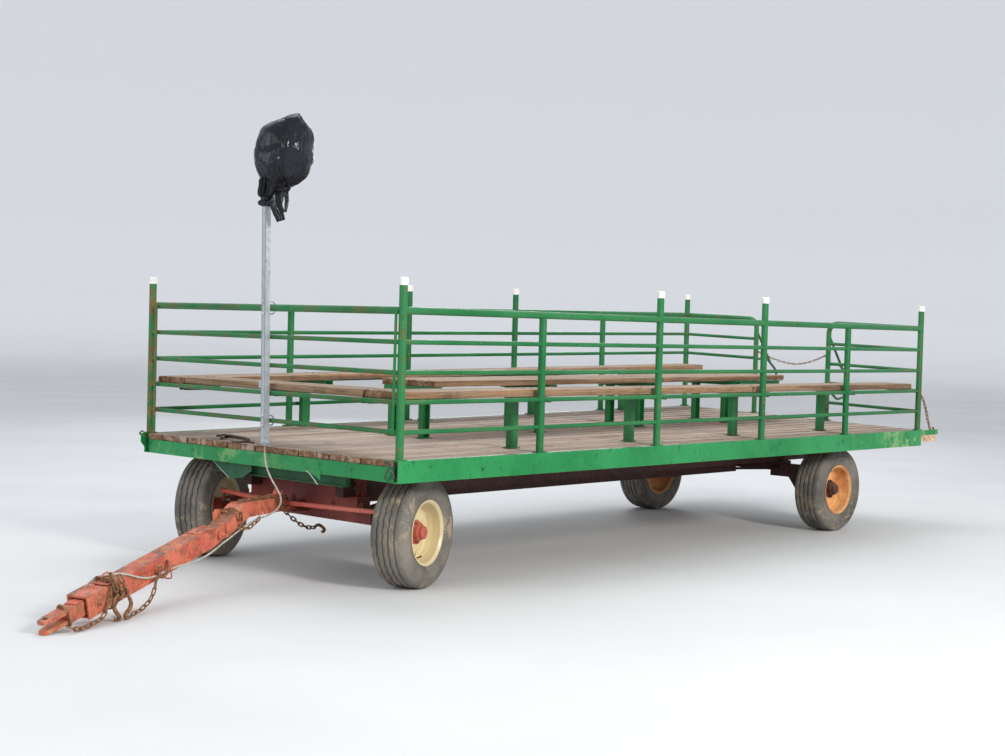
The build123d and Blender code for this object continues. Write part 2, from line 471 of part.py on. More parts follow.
WHEELS = [  # name, side, kingpin or axle place, offset, turn
    ("front_left", 1, (AXLE_FX, KING_Y), WHEEL_OFF, STEER + TOE[1]), ("front_right", -1, (AXLE_FX, -KING_Y), WHEEL_OFF, STEER + TOE[-1]),
    ("rear_left", 1, (AXLE_RX, 0), WHEEL_Y, 0.0), ("rear_right", -1, (AXLE_RX, 0), WHEEL_Y, 0.0)]
for name, s, (px, py), off, turn in WHEELS:
    L = Pos(px, py, 0) * Rot(0, 0, turn) * Pos(0, s * off, HUB_Z) * Rot(0, 0, 90 * s)
    put("tyre_" + name, place(L, tyre()))
    put("rim_" + name, place(L, rim()))
    put("hub_" + name, place(L, hub()))

# ---- light cable -----------------------------------------------------------
CABLE_R = 5.5
put("pole_grommet", POLE_AX * bx(-PA + 2.7, PA - 2.7, -PA + 2.7, PA - 2.7, 2, 26))


def hf(s_, off, z):
    # a point ahead of and beside the head pin, at height z
    c_, t_ = cos(radians(STEER)), sin(radians(STEER))
    return (HEAD_X + s_ * c_ - off * t_, s_ * t_ + off * c_, z)


ROUTE = [(POLE_X, POLE_Y, POLE_Z0 + 2), (POLE_X, POLE_Y, 766), (3077, 88, 692), (3090, 150, 618), hf(344, 98, 542), hf(322, 112, 482), hf(326, 92, 430),
         hf(372, 72, 401), hf(440, 67, 388), hf(530, 67, 384), hf(640, 67, 363), hf(748, 67, 330), hf(832, 67, 300), hf(905, 67, 280), hf(985, 67, 250),
         hf(1085, 68, 222), hf(1215, 71, 208), hf(1345, 72, 205), hf(1470, 71, 193), hf(1600, 69, 170), hf(1710, 70, 184), hf(1795, 72, 210),
         hf(1852, 58, 226), hf(1895, 14, 224), hf(1925, -36, 214), hf(1948, -76, 192), hf(1975, -92, 140), hf(2030, -92, 104), hf(2095, -90, 84)]
SPLIT_HEAD, SPLIT_TONGUE = 8, 13          # the cable passes to the next body halfway along the run after these points


def half(i):
    return tuple((p + q) / 2 for p, q in zip(ROUTE[i], ROUTE[i + 1]))


DROP = ROUTE[:SPLIT_HEAD + 1] + [half(SPLIT_HEAD)]
HEAD_RUN = [half(SPLIT_HEAD)] + ROUTE[SPLIT_HEAD + 1:SPLIT_TONGUE + 1] + [half(SPLIT_TONGUE)]
TONGUE_RUN = [half(SPLIT_TONGUE)] + ROUTE[SPLIT_TONGUE + 1:]


def cord_tube(points):
    v = [Vector(*p) for p in points]
    runs = [(v[i + 1] - v[i]).length for i in range(len(v) - 1)]
    radii = []
    for i in range(1, len(v) - 1):
        turn = (v[i] - v[i - 1]).get_angle(v[i + 1] - v[i])
        radii.append(0.45 * min(runs[i - 1], runs[i]) / tan(radians(turn) / 2))
    path = FilletPolyline(*points, radius=radii)
    tube = sweep(Plane(origin=path @ 0, z_dir=path % 0) * Circle(CABLE_R), path=path)
    print("cord", round(path.length), "runs", [round(r_) for r_ in runs], "radii", [round(r_) for r_ in radii],
          "volume", round(tube.volume / (pi * CABLE_R ** 2 * path.length), 4))
    return tube


put("cable_drop", cord_tube(DROP))
put("cable_head", cord_tube(HEAD_RUN))
put("cable_tongue", cord_tube(TONGUE_RUN))
e0, e1 = Vector(*TONGUE_RUN[-2]), Vector(*TONGUE_RUN[-1])
u = (e1 - e0).normalized()
plug = rod(tuple(e1), tuple(e1 + u * 22), 10) + rod(tuple(e1 + u * 22), tuple(e1 + u * 62), 17)
plug -= rod(tuple(e1 + u * 46), tuple(e1 + u * 70), 13.5)
put("cable_plug", plug)

# ---- common shift and export -----------------------------------------------
FRONT_X = 0.0
for sh in nodes["hitch_bar"]:
    FRONT_X = max(FRONT_X, sh.bounding_box().max.X)
REAR_X = min(sh.bounding_box().min.X for n in ("boarding_handrails",) for sh in nodes[n])
SHIFT_X = -(FRONT_X + REAR_X) / 2
print("shift", round(SHIFT_X, 3), "front", round(FRONT_X, 1), "rear", round(REAR_X, 1), "pitch", round(TONGUE_PITCH, 3))

for name, shapes in nodes.items():
    moved = []
    for sh in shapes:
        moved.extend((Pos(SHIFT_X, 0, BASE_Z) * s) for s in sh.solids())
    out = moved[0] if len(moved) == 1 else Compound(children=moved)
    export_step(out, f"parts/{name}.step")
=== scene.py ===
import bpy, json, math, random
import numpy as np
from mathutils import Vector, Matrix, noise as mnoise


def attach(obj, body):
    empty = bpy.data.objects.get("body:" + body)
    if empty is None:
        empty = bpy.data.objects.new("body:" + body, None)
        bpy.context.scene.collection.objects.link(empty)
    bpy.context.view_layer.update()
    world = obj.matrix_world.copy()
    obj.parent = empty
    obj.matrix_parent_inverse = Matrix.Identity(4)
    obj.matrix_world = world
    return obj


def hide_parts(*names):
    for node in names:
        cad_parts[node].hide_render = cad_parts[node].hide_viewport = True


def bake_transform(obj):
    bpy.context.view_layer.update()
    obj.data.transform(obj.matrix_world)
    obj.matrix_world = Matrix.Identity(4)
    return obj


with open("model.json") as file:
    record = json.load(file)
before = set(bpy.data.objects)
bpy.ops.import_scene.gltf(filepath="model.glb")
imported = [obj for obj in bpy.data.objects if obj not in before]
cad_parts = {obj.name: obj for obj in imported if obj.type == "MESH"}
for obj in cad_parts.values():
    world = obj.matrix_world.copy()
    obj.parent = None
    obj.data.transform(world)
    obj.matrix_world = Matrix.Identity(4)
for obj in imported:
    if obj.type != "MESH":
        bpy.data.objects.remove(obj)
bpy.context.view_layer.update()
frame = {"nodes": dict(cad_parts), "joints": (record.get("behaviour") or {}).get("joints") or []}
NODES = frame["nodes"]
JOINTS = {j["name"]: j for j in frame["joints"]}

# ---- places ----------------------------------------------------------------
SHIFT, BASE = -0.853486, 0.012
TWIST, END_X, POST_Y, DECK_TOP = 5.2e-6, 3020.0, 1220.35, 800.0
C20, S20 = math.cos(math.radians(20)), math.sin(math.radians(20))
PITCH = math.asin(342.0 / math.hypot(1540.0, 36.0)) - math.atan2(36.0, 1540.0)


def P(x, y, z):
    # millimetres from the middle of the deck to the row frame in metres
    return Vector((x / 1000 + SHIFT, y / 1000, z / 1000 + BASE))


def lift(x, y):
    return TWIST * max(0.0, END_X - x) * max(0.0, POST_Y - y)


def H(s, o, z):
    # ahead of and beside the steering head's pin
    return P(2783 + s * C20 - o * S20, s * S20 + o * C20, z)


def T(x, y, z):
    # tongue: x along the beam from the hinge pin, y to its left, z across it
    return H(930 + x * math.cos(PITCH) + z * math.sin(PITCH), y, 330 - x * math.sin(PITCH) + z * math.cos(PITCH))


# ---- mesh helpers ----------------------------------------------------------
class Mesh:
    def __init__(self):
        self.v, self.f, self.m = [], [], []

    def add(self, verts, faces, mat=0):
        k = len(self.v)
        self.v.extend(tuple(p) for p in verts)
        self.f.extend(tuple(i + k for i in f) for f in faces)
        self.m.extend([mat] * len(faces))

    def grid(self, rows, closed_u=False, closed_v=True, mat=0, cap=False):
        n, m = len(rows), len(rows[0])
        faces = []
        for i in range(n if closed_u else n - 1):
            for j in range(m if closed_v else m - 1):
                a, b = i, (i + 1) % n
                c, d = j, (j + 1) % m
                faces.append((a * m + c, a * m + d, b * m + d, b * m + c))
        if cap and not closed_u:
            faces.append(tuple(range(m))[::-1])
            faces.append(tuple(range((n - 1) * m, n * m)))
        self.add([p for r in rows for p in r], faces, mat)

    def tube(self, pts, r, n=8, closed=False, mat=0, up=None, flat=1.0):
        pts = [Vector(p) for p in pts]
        k = len(pts)
        rad = r if isinstance(r, (list, tuple)) else [r] * k
        tan = []
        for i in range(k):
            a = pts[(i - 1) % k] if closed or i > 0 else pts[0]
            b = pts[(i + 1) % k] if closed or i < k - 1 else pts[-1]
            tan.append((b - a).normalized())
        ref = Vector(up) if up else (Vector((0, 0, 1)) if abs(tan[0].z) < 0.9 else Vector((1, 0, 0)))
        u = (ref - tan[0] * ref.dot(tan[0])).normalized()
        rows = []
        for i in range(k):
            u = (u - tan[i] * u.dot(tan[i])).normalized()
            w = tan[i].cross(u)
            rows.append([pts[i] + (u * math.cos(2 * math.pi * j / n) * flat + w * math.sin(2 * math.pi * j / n)) * rad[i] for j in range(n)])
        self.grid(rows, closed_u=closed, closed_v=True, mat=mat, cap=not closed)

    def hexa(self, p, axis, size, h, mat=0, turn=0.0, sides=6):
        # chamfered nut or bolt head standing on p
        axis = Vector(axis).normalized()
        ref = Vector((0, 0, 1)) if abs(axis.z) < 0.9 else Vector((1, 0, 0))
        u = (ref - axis * ref.dot(axis)).normalized()
        w = axis.cross(u)
        r = size / 2 / math.cos(math.pi / 6)
        rows = []
        for rr, hh in ((r, 0), (r, h * 0.78), (r * 0.86, h)):
            rows.append([Vector(p) + axis * hh + (u * math.cos(turn + 2 * math.pi * j / sides) + w * math.sin(turn + 2 * math.pi * j / sides)) * rr for j in range(sides)])
        self.grid(rows, mat=mat, cap=True)

    def bolt(self, p, axis, size, mat=0, stud=0.0, washer=True, turn=0.3):
        axis = Vector(axis).normalized()
        p = Vector(p)
        if washer:
            self.disc(p, axis, size * 1.0, size * 0.16, mat, 14)
            p = p + axis * size * 0.16
        self.hexa(p, axis, size, size * 0.55, mat, turn)
        if stud:
            self.disc(p + axis * size * 0.55, axis, size * 0.31, stud, mat, 10)

    def disc(self, p, axis, r, h, mat=0, n=14):
        axis = Vector(axis).normalized()
        ref = Vector((0, 0, 1)) if abs(axis.z) < 0.9 else Vector((1, 0, 0))
        u = (ref - axis * ref.dot(axis)).normalized()
        w = axis.cross(u)
        rows = []
        for rr, hh in ((r, 0), (r, h * 0.7), (r * 0.88, h)):
            rows.append([Vector(p) + axis * hh + (u * math.cos(2 * math.pi * j / n) + w * math.sin(2 * math.pi * j / n)) * rr for j in range(n)])
        self.grid(rows, mat=mat, cap=True)

    def plate(self, corners, t, mat=0):
        # flat piece from its outline, t thick along its own normal
        c = [Vector(p) for p in corners]
        n = Vector((0, 0, 0))
        for i in range(len(c)):
            n += c[i].cross(c[(i + 1) % len(c)])
        n = n.normalized() * t
        k = len(c)
        mid = sum(c, Vector()) / k
        inner = [p + (mid - p).normalized() * min(abs(t) * 0.25, 0.0015) for p in c]
        rows = [inner, [p + n * 0.2 for p in c], [p + n * 0.8 for p in c], [p + n for p in inner]]
        self.grid(rows, mat=mat, cap=True)

    def chain(self, pts, wire, link, mat=0, twist=0.0, n=6, seg=12):
        # links of the given inner length along a smooth line, each turned a quarter from the last
        pts = [Vector(p) for p in pts]
        line = smooth_line(pts)
        pitch = link
        d, at = 0.0, []
        acc = [0.0]
        for a, b in zip(line, line[1:]):
            acc.append(acc[-1] + (b - a).length)
        total = acc[-1]
        count = max(2, int(total / pitch))
        pitch = total / count
        j = 0

        def point(s):
            s = min(max(s, 0), total)
            lo = 0
            for q in range(len(acc) - 1):
                if acc[q + 1] >= s:
                    lo = q
                    break
            t_ = (s - acc[lo]) / max(1e-9, acc[lo + 1] - acc[lo])
            return line[lo].lerp(line[lo + 1], t_)

        u = None
        for i in range(count):
            a, b = point(i * pitch), point((i + 1) * pitch)
            x = (b - a).normalized()
            if u is None:
                ref = Vector((0, 0, 1)) if abs(x.z) < 0.9 else Vector((0, 1, 0))
                u = ref
            u = (u - x * u.dot(x)).normalized()
            w = x.cross(u)
            ang = twist + (math.pi / 2 if i % 2 else 0) + 0.18 * math.sin(i * 2.3)
            e = u * math.cos(ang) + w * math.sin(ang)
            mid = (a + b) / 2
            half_l = pitch / 2 + wire * 0.52
            half_w = wire * 1.65
            loop = []
            for q in range(seg):
                th = 2 * math.pi * q / seg
                cx, cy = math.cos(th), math.sin(th)
                sx = math.copysign(max(0, half_l - half_w * 0.92), cx) + cx * half_w * 0.92 if abs(cx) > 0.25 else cx * half_l * 0.9
                loop.append(mid + x * sx * (half_l - wire * 0.0) / half_l + e * cy * half_w * 0.72)
            self.tube(loop, wire / 2, n=n, closed=True, mat=mat)

    def obj(self, name, mats, body=None, slot=None, sharp=35, smooth=True):
        me = bpy.data.meshes.new(name)
        me.from_pydata([tuple(p) for p in self.v], [], self.f)
        for m in mats if isinstance(mats, (list, tuple)) else [mats]:
            me.materials.append(m)
        me.polygons.foreach_set("material_index", self.m)
        me.update()
        me.validate()
        if smooth:
            me.polygons.foreach_set("use_smooth", [True] * len(me.polygons))
            me.set_sharp_from_angle(angle=math.radians(sharp))
        o = bpy.data.objects.new(name, me)
        bpy.context.scene.collection.objects.link(o)
        if body:
            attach(o, body)
        return o


def smooth_line(pts, per=10):
    # centripetal-like Catmull-Rom through the points
    if len(pts) < 3:
        return [pts[0].lerp(pts[-1], i / per) for i in range(per + 1)]
    q = [pts[0] * 2 - pts[1]] + list(pts) + [pts[-1] * 2 - pts[-2]]
    out = []
    for i in range(1, len(q) - 2):
        a, b, c, d = q[i - 1:i + 3]
        for k in range(per):
            t = k / per
            out.append(0.5 * ((b * 2) + (c - a) * t + (a * 2 - b * 5 + c * 4 - d) * t * t + (b * 3 - a - c * 3 + d) * t ** 3))
    out.append(pts[-1])
    return out


# ---- material helpers ------------------------------------------------------
class Mat:
    def __init__(self, name, rough=0.5, metallic=0.0, spec=0.5, coat=0.0):
        self.m = bpy.data.materials.new(name)
        self.m.use_nodes = True
        self.t = self.m.node_tree
        self.t.nodes.clear()
        self.out = self.n("ShaderNodeOutputMaterial")
        self.b = self.n("ShaderNodeBsdfPrincipled")
        self.l(self.b.outputs[0], self.out.inputs[0])
        self.b.inputs["Roughness"].default_value = rough
        self.b.inputs["Metallic"].default_value = metallic
        self.b.inputs["Specular IOR Level"].default_value = spec
        if coat:
            self.b.inputs["Coat Weight"].default_value = coat
            self.b.inputs["Coat Roughness"].default_value = 0.12
        self.tc = self.n("ShaderNodeTexCoord")
        self.geo = self.n("ShaderNodeNewGeometry")
        self.co = self.tc.outputs["Object"]

    def n(self, kind, **kw):
        node = self.t.nodes.new(kind)
        for k, v in kw.items():
            setattr(node, k, v)
        return node

    def l(self, a, b):
        self.t.links.new(a, b)

    def put(self, sock, val):
        if isinstance(val, bpy.types.NodeSocket):
            self.l(val, sock)
        elif isinstance(val, (tuple, list)) and len(val) == 3 and sock.type == "RGBA":
            sock.default_value = (*val, 1)
        else:
            sock.default_value = val

    def map(self, scale=(1, 1, 1), loc=(0, 0, 0), rot=(0, 0, 0), vec=None):
        m = self.n("ShaderNodeMapping")
        self.l(vec or self.co, m.inputs[0])
        m.inputs["Location"].default_value = loc
        m.inputs["Rotation"].default_value = rot
        m.inputs["Scale"].default_value = scale
        return m.outputs[0]

    def noise(self, scale, detail=4, rough=0.55, vec=None, dist=0.0, color=False):
        t = self.n("ShaderNodeTexNoise")
        self.l(vec or self.co, t.inputs["Vector"])
        t.inputs["Scale"].default_value = scale
        t.inputs["Detail"].default_value = detail
        t.inputs["Roughness"].default_value = rough
        t.inputs["Distortion"].default_value = dist
        return t.outputs[1 if color else 0]

    def voro(self, scale, vec=None, feature="F1", out="Distance", rand=1.0):
        t = self.n("ShaderNodeTexVoronoi", feature=feature)
        self.l(vec or self.co, t.inputs["Vector"])
        t.inputs["Scale"].default_value = scale
        t.inputs["Randomness"].default_value = rand
        return t.outputs[out]

    def mr(self, val, a, b, c=0.0, d=1.0, smooth=True):
        m = self.n("ShaderNodeMapRange", interpolation_type="SMOOTHSTEP" if smooth else "LINEAR")
        self.put(m.inputs["Value"], val)
        for k, v in (("From Min", a), ("From Max", b), ("To Min", c), ("To Max", d)):
            m.inputs[k].default_value = v
        return m.outputs["Result"]

    def math(self, op, a, b=0.0, clamp=False):
        m = self.n("ShaderNodeMath", operation=op, use_clamp=clamp)
        self.put(m.inputs[0], a)
        self.put(m.inputs[1], b)
        return m.outputs[0]

    def mul(self, a, b):
        return self.math("MULTIPLY", a, b, True)

    def mix(self, fac, a, b, mode="MIX"):
        m = self.n("ShaderNodeMix", data_type="RGBA", blend_type=mode)
        self.put(m.inputs[0], fac)
        self.put(m.inputs[6], a)
        self.put(m.inputs[7], b)
        return m.outputs[2]

    def axis(self, sock, which):
        s = self.n("ShaderNodeSeparateXYZ")
        self.l(sock, s.inputs[0])
        return s.outputs[which]

    def normal(self, which):
        return self.axis(self.geo.outputs["Normal"], which)

    def bump(self, height, dist=0.001, strength=1.0, normal=None):
        b = self.n("ShaderNodeBump")
        b.inputs["Strength"].default_value = strength
        b.inputs["Distance"].default_value = dist
        self.l(height, b.inputs["Height"])
        if normal is not None:
            self.l(normal, b.inputs["Normal"])
        return b.outputs[0]

    def edge(self, r=0.004, lo=0.02, hi=0.25):
        # how near a surface point is to a sharp edge
        b = self.n("ShaderNodeBevel", samples=4)
        b.inputs["Radius"].default_value = r
        d = self.n("ShaderNodeVectorMath", operation="DOT_PRODUCT")
        self.l(b.outputs[0], d.inputs[0])
        self.l(self.geo.outputs["Normal"], d.inputs[1])
        return self.mr(self.math("SUBTRACT", 1.0, d.outputs["Value"]), lo, hi)

    def done(self, color=None, rough=None, normal=None, metallic=None):
        if color is not None:
            self.l(color, self.b.inputs["Base Color"])
        if rough is not None:
            self.l(rough, self.b.inputs["Roughness"])
        if normal is not None:
            self.l(normal, self.b.inputs["Normal"])
        if metallic is not None:
            self.l(metallic, self.b.inputs["Metallic"])
        return self.m


def paint(name, base, fade, dark, rust=(0.17, 0.055, 0.02), chips=0.5, rough=0.4, spots=0.5, streaks=0.3, dust=0.25,
          dust_color=(0.34, 0.29, 0.22), scuff=0.4, edge=0.4, big=1.6, seed=0.0, bright_rust=(0.36, 0.13, 0.045), top_rust=0.0, top_rust_tones=((0.25, 0.098, 0.045), (0.115, 0.048, 0.026)), spec=0.45, places=()):
    # old brushed enamel: patchy fading, dark scuffs, small rust spots and chips, runs of rust, dust on top faces
    m = Mat(name, rough=rough, spec=spec)
    v = m.map(loc=(seed, seed * 0.7, seed * 1.3))
    c = m.mix(m.mr(m.noise(big, 3, 0.5, v), 0.36, 0.66), base, fade)
    c = m.mix(m.mr(m.noise(9, 5, 0.6, v), 0.42, 0.75, 0, 0.5), c, fade)
    c = m.mix(m.mul(m.mr(m.noise(26, 6, 0.72, m.map((1, 1, 0.55), vec=v)), 0.56, 0.70), scuff), c, dark)
    st = m.noise(5.5, 4, 0.6, m.map((7, 7, 0.7), loc=(seed, 3.1, 0.2)))
    c = m.mix(m.mul(m.mr(st, 0.56, 0.78), streaks), c, rust)
    rr = m.mix(m.noise(60, 3, 0.6, v), rust, bright_rust)
    spot = m.mul(m.mr(m.noise(48, 5, 0.65, v), 0.60, 0.655), m.mr(m.noise(4.2, 3, 0.6, v), 0.48, 0.62))
    c = m.mix(m.mul(spot, spots), c, rr)
    chip = m.mr(m.noise(15, 7, 0.72, v, 0.6), 0.655, 0.675)
    c = m.mix(m.mul(chip, chips), c, rr)
    if edge:
        e = m.mul(m.edge(0.005), m.mr(m.noise(33, 5, 0.7, v), 0.42, 0.60))
        c = m.mix(m.mul(e, edge), c, rr)
    for limits, tone, amount, size in places:
        # paint worn or rusted in one part of the piece: limits are (axis, from, to) along the frame
        k = m.mul(m.mr(m.noise(size, 6, 0.74, v, 0.5), 0.50, 0.58), amount)
        for axis, lo, hi in limits:
            k = m.mul(k, m.mr(m.axis(m.co, axis), lo, hi))
        c = m.mix(k, c, tone)
    up = m.mr(m.normal(2), 0.35, 0.95)
    if top_rust:
        tr = m.mul(up, m.mr(m.noise(8, 6, 0.7, v, 0.6), 0.47, 0.57))
        c = m.mix(m.mul(tr, top_rust), c, m.mix(m.mr(m.noise(30, 4, 0.6, v), 0.35, 0.65), *top_rust_tones))
    d = m.mul(m.mul(up, m.mr(m.noise(7, 5, 0.6, v), 0.3, 0.7, 0.35, 1.0)), dust)
    c = m.mix(d, c, dust_color)
    r = m.mr(m.noise(20, 4, 0.6, v), 0.3, 0.75, rough - 0.08, rough + 0.16)
    r = m.math("ADD", r, m.mul(m.math("MAXIMUM", chip, spot), 0.3), True)
    nb = m.bump(m.math("SUBTRACT", m.noise(140, 3, 0.6, v), m.math("MULTIPLY", m.math("MAXIMUM", chip, spot), 0.8)), 0.0006, 0.55)
    return m.done(c, r, nb)


def wood(name, pale, mid, dark, along=0, end=(0.16, 0.09, 0.05), board=None, rough=0.82, side=None, dirt=0.3, grain=1.0, contrast=1.0):
    # weathered softwood: long grain, checks, stains; darker rough end grain. along is the board's long axis
    m = Mat(name, rough=rough, spec=0.25)
    k = [34.0, 34.0, 34.0]
    k[along] = 0.9
    base_v = m.co
    if board:
        # every board has its own grain and tone
        pitch, off, ax = board
        idx = m.math("FLOOR", m.math("MULTIPLY", m.math("ADD", m.axis(m.co, ax), off), 1 / pitch))
        wn = m.n("ShaderNodeTexWhiteNoise", noise_dimensions="1D")
        m.l(idx, wn.inputs["W"])
        tone = wn.outputs["Value"]
        jump = m.n("ShaderNodeVectorMath", operation="ADD")
        m.l(m.co, jump.inputs[0])
        sc = m.n("ShaderNodeVectorMath", operation="SCALE")
        m.l(wn.outputs["Color"], sc.inputs[0])
        sc.inputs["Scale"].default_value = 7.0
        m.l(sc.outputs[0], jump.inputs[1])
        base_v = jump.outputs[0]
    else:
        tone = m.noise(0.7, 1, 0.5)
    g = m.noise(1.5 * grain, 7, 0.62, m.map(tuple(k), vec=base_v), 0.9)
    fine = m.noise(6.0 * grain, 5, 0.7, m.map(tuple(k), vec=base_v), 0.3)
    c = m.mix(m.mr(g, 0.36, 0.62), pale, mid)
    wide = m.noise(0.55 * grain, 4, 0.6, m.map(tuple(k), vec=base_v), 0.5)
    c = m.mix(m.mul(m.mr(wide, 0.52, 0.64), 0.42 * contrast), c, dark)
    c = m.mix(m.mul(m.mr(fine, 0.52, 0.75), 0.55 * contrast), c, dark)
    c = m.mix(m.mr(tone, 0.0, 1.0, 0.0, 0.55, False), c, mid)
    c = m.mix(m.mul(m.mr(tone, 0.72, 1.0), 0.45), c, pale)
    c = m.mix(m.mul(m.mr(tone, 0.30, 0.10), 0.30), c, dark)
    check_k = [70.0, 70.0, 70.0]
    check_k[along] = 1.7
    ck = m.noise(1.0, 3, 0.5, m.map(tuple(check_k), vec=base_v), 0.2)
    cracks = m.mul(m.mr(ck, 0.665, 0.70), m.mr(m.noise(1.3, 2, 0.5, base_v), 0.40, 0.6))
    c = m.mix(m.mul(cracks, 0.9), c, (0.035, 0.022, 0.015))
    st = m.mr(m.noise(2.6, 6, 0.68, m.map((1.0, 1.3, 1.0))), 0.50, 0.72)
    c = m.mix(m.mul(st, dirt), c, (0.12, 0.095, 0.075))
    # board faces that stand on edge take the side colour: a weathered side tone on the benches, and on the deck a
    # painted shade for the narrow gaps between the boards
    if side:
        nz = m.mr(m.math("ABSOLUTE", m.normal(2)), 0.45, 0.8)
        c2 = m.mix(m.mr(g, 0.40, 0.60), side, mid)
        c2 = m.mix(m.mul(m.mr(fine, 0.48, 0.66), 0.8), c2, dark)
        c2 = m.mix(m.mul(m.mr(wide, 0.49, 0.60), 0.6), c2, dark)
        c2 = m.mix(m.mul(m.mr(m.noise(5, 5, 0.7, base_v), 0.5, 0.68), 0.55), c2, end)
        c = m.mix(nz, c2, c)
    ne = m.mr(m.math("ABSOLUTE", m.normal(along)), 0.55, 0.85)
    ce = m.mix(m.mr(m.noise(42, 5, 0.75, base_v), 0.35, 0.68), end, tuple(min(1, q * 3.0) for q in end))
    ce = m.mix(m.mr(m.noise(9, 3, 0.6, base_v), 0.50, 0.62, 0, 0.8), ce, mid)
    c = m.mix(ne, c, ce)
    h = m.math("SUBTRACT", m.math("ADD", m.math("MULTIPLY", g, 0.6), m.math("MULTIPLY", fine, 0.5)), m.math("MULTIPLY", cracks, 1.2))
    nb = m.bump(h, 0.0022, 0.7)
    return m.done(c, None, nb)


# ---- camera, light, floor --------------------------------------------------
cam_data = bpy.data.cameras.new("camera")
cam = bpy.data.objects.new("camera", cam_data)
bpy.context.scene.collection.objects.link(cam)
right = Vector((-0.67990624, 0.73277226, 0.02779059))
upv = Vector((-0.00527055, -0.04278033, 0.9990706))
back = Vector((0.73328011, 0.67912787, 0.03294873))
cam.matrix_world = Matrix(((right.x, upv.x, back.x, 9.3536 + SHIFT), (right.y, upv.y, back.y, 7.8733),
                           (right.z, upv.z, back.z, 1.5928 + BASE), (0, 0, 0, 1)))
cam_data.sensor_width = 36.0
cam_data.lens = 1606.13 / 1005.0 * 36.0
cam_data.clip_start, cam_data.clip_end = 0.1, 300.0
bpy.context.scene.camera = cam
bpy.context.scene.view_settings.view_transform = "Standard"


def area(name, loc, target, size, power, color=(1, 1, 1)):
    d = bpy.data.lights.new(name, "AREA")
    d.shape = "DISK"
    d.size = size
    d.energy = power
    d.color = color
    o = bpy.data.objects.new(name, d)
    o.location = loc
    o.rotation_euler = (Vector(target) - Vector(loc)).to_track_quat("-Z", "Y").to_euler()
    bpy.context.scene.collection.objects.link(o)
    return o


area("key", (2.5, 13.0, 6.0), (0.3, 0.0, 0.9), 2.6, 1250, (1.0, 0.965, 0.91))
area("front", (13.5, -1.0, 5.0), (0.3, 0.0, 0.9), 6.0, 330, (0.95, 0.97, 1.0))
area("top", (-1.0, -2.0, 9.0), (0.0, 0.0, 0.8), 7.0, 300, (0.93, 0.96, 1.0))
area("rear", (-10.0, -9.0, 5.5), (-1.0, 0.0, 0.9), 5.0, 300, (0.93, 0.96, 1.0))
world = bpy.data.worlds.new("world")
bpy.context.scene.world = world
world.use_nodes = True
bg = world.node_tree.nodes["Background"]
bg.inputs[0].default_value = (0.84, 0.88, 0.94, 1)
bg.inputs[1].default_value = 0.86

fl = Mesh()
rows = []
for r, z in [(0.0002, 0.0), (8, 0.0), (24, 0.0), (31, 0.0), (36, 0.5), (41, 2.2), (44.5, 5.5), (46, 10.0), (46.5, 14.5)]:
    rows.append([(r * math.cos(2 * math.pi * j / 72), r * math.sin(2 * math.pi * j / 72), z) for j in range(72)])
fl.grid(rows)
fm = Mat("floor_pale", rough=0.75, spec=0.2)
fcol = fm.mix(fm.mr(fm.noise(0.6, 4, 0.5), 0.3, 0.7), (0.66, 0.66, 0.655), (0.70, 0.70, 0.695))
far = fm.n("ShaderNodeVectorMath", operation="LENGTH")
fm.l(fm.co, far.inputs[0])
fcol = fm.mix(fm.mr(far.outputs["Value"], 30.0, 40.0), fcol, (0.93, 0.93, 0.93))
floor = fl.obj("floor", fm.done(fcol), sharp=180)

# ---- cable -----------------------------------------------------------------
def hf(s, o, z):
    return H(s, o, z)


CABLE_D = 0.011
ROUTE = [P(3063, 57, 822), P(3063, 57, 766), P(3077, 88, 692), P(3090, 150, 618), hf(344, 98, 542), hf(322, 112, 482), hf(326, 92, 430),
         hf(372, 72, 401), hf(440, 67, 388), hf(530, 67, 384), hf(640, 67, 363), hf(748, 67, 330), hf(832, 67, 300), hf(905, 67, 280), hf(985, 67, 250),
         hf(1085, 68, 222), hf(1215, 71, 208), hf(1345, 72, 205), hf(1470, 71, 193), hf(1600, 69, 170), hf(1710, 70, 184), hf(1795, 72, 210),
         hf(1852, 58, 226), hf(1895, 14, 224), hf(1925, -36, 214), hf(1948, -76, 192), hf(1975, -92, 140), hf(2030, -92, 104), hf(2095, -90, 84)]
cd = bpy.data.curves.new("cable_line", "CURVE")
cd.dimensions = "3D"
sp = cd.splines.new("NURBS")
sp.points.add(len(ROUTE) - 1)
for p, q in zip(sp.points, ROUTE):
    p.co = (*q, 1.0)
sp.order_u = 3
sp.use_endpoint_u = True
cd.resolution_u = 10
line_obj = bpy.data.objects.new("cable_line", cd)
bpy.context.scene.collection.objects.link(line_obj)
bpy.context.view_layer.update()
tmp = bpy.data.meshes.new_from_object(line_obj)
LINE = [v.co.copy() for v in tmp.vertices]
bpy.data.objects.remove(line_obj)
split_at = (ROUTE[8] + ROUTE[9]) / 2
ki = min(range(len(LINE)), key=lambda i: (LINE[i] - split_at).length)
DROP, RUN = LINE[:ki + 1], LINE[ki:]


def length_of(pts):
    return sum((b - a).length for a, b in zip(pts, pts[1:]))


m = Mat("cable_jacket", rough=0.48, spec=0.4)
cc = m.mix(m.mr(m.noise(30, 4, 0.6), 0.35, 0.7), (0.50, 0.47, 0.40), (0.36, 0.33, 0.27))
cc = m.mix(m.mul(m.mr(m.noise(9, 5, 0.7), 0.52, 0.68), 0.6), cc, (0.20, 0.16, 0.12))
M_CABLE = m.done(cc, None, m.bump(m.noise(400, 2, 0.5), 0.0002, 0.4))

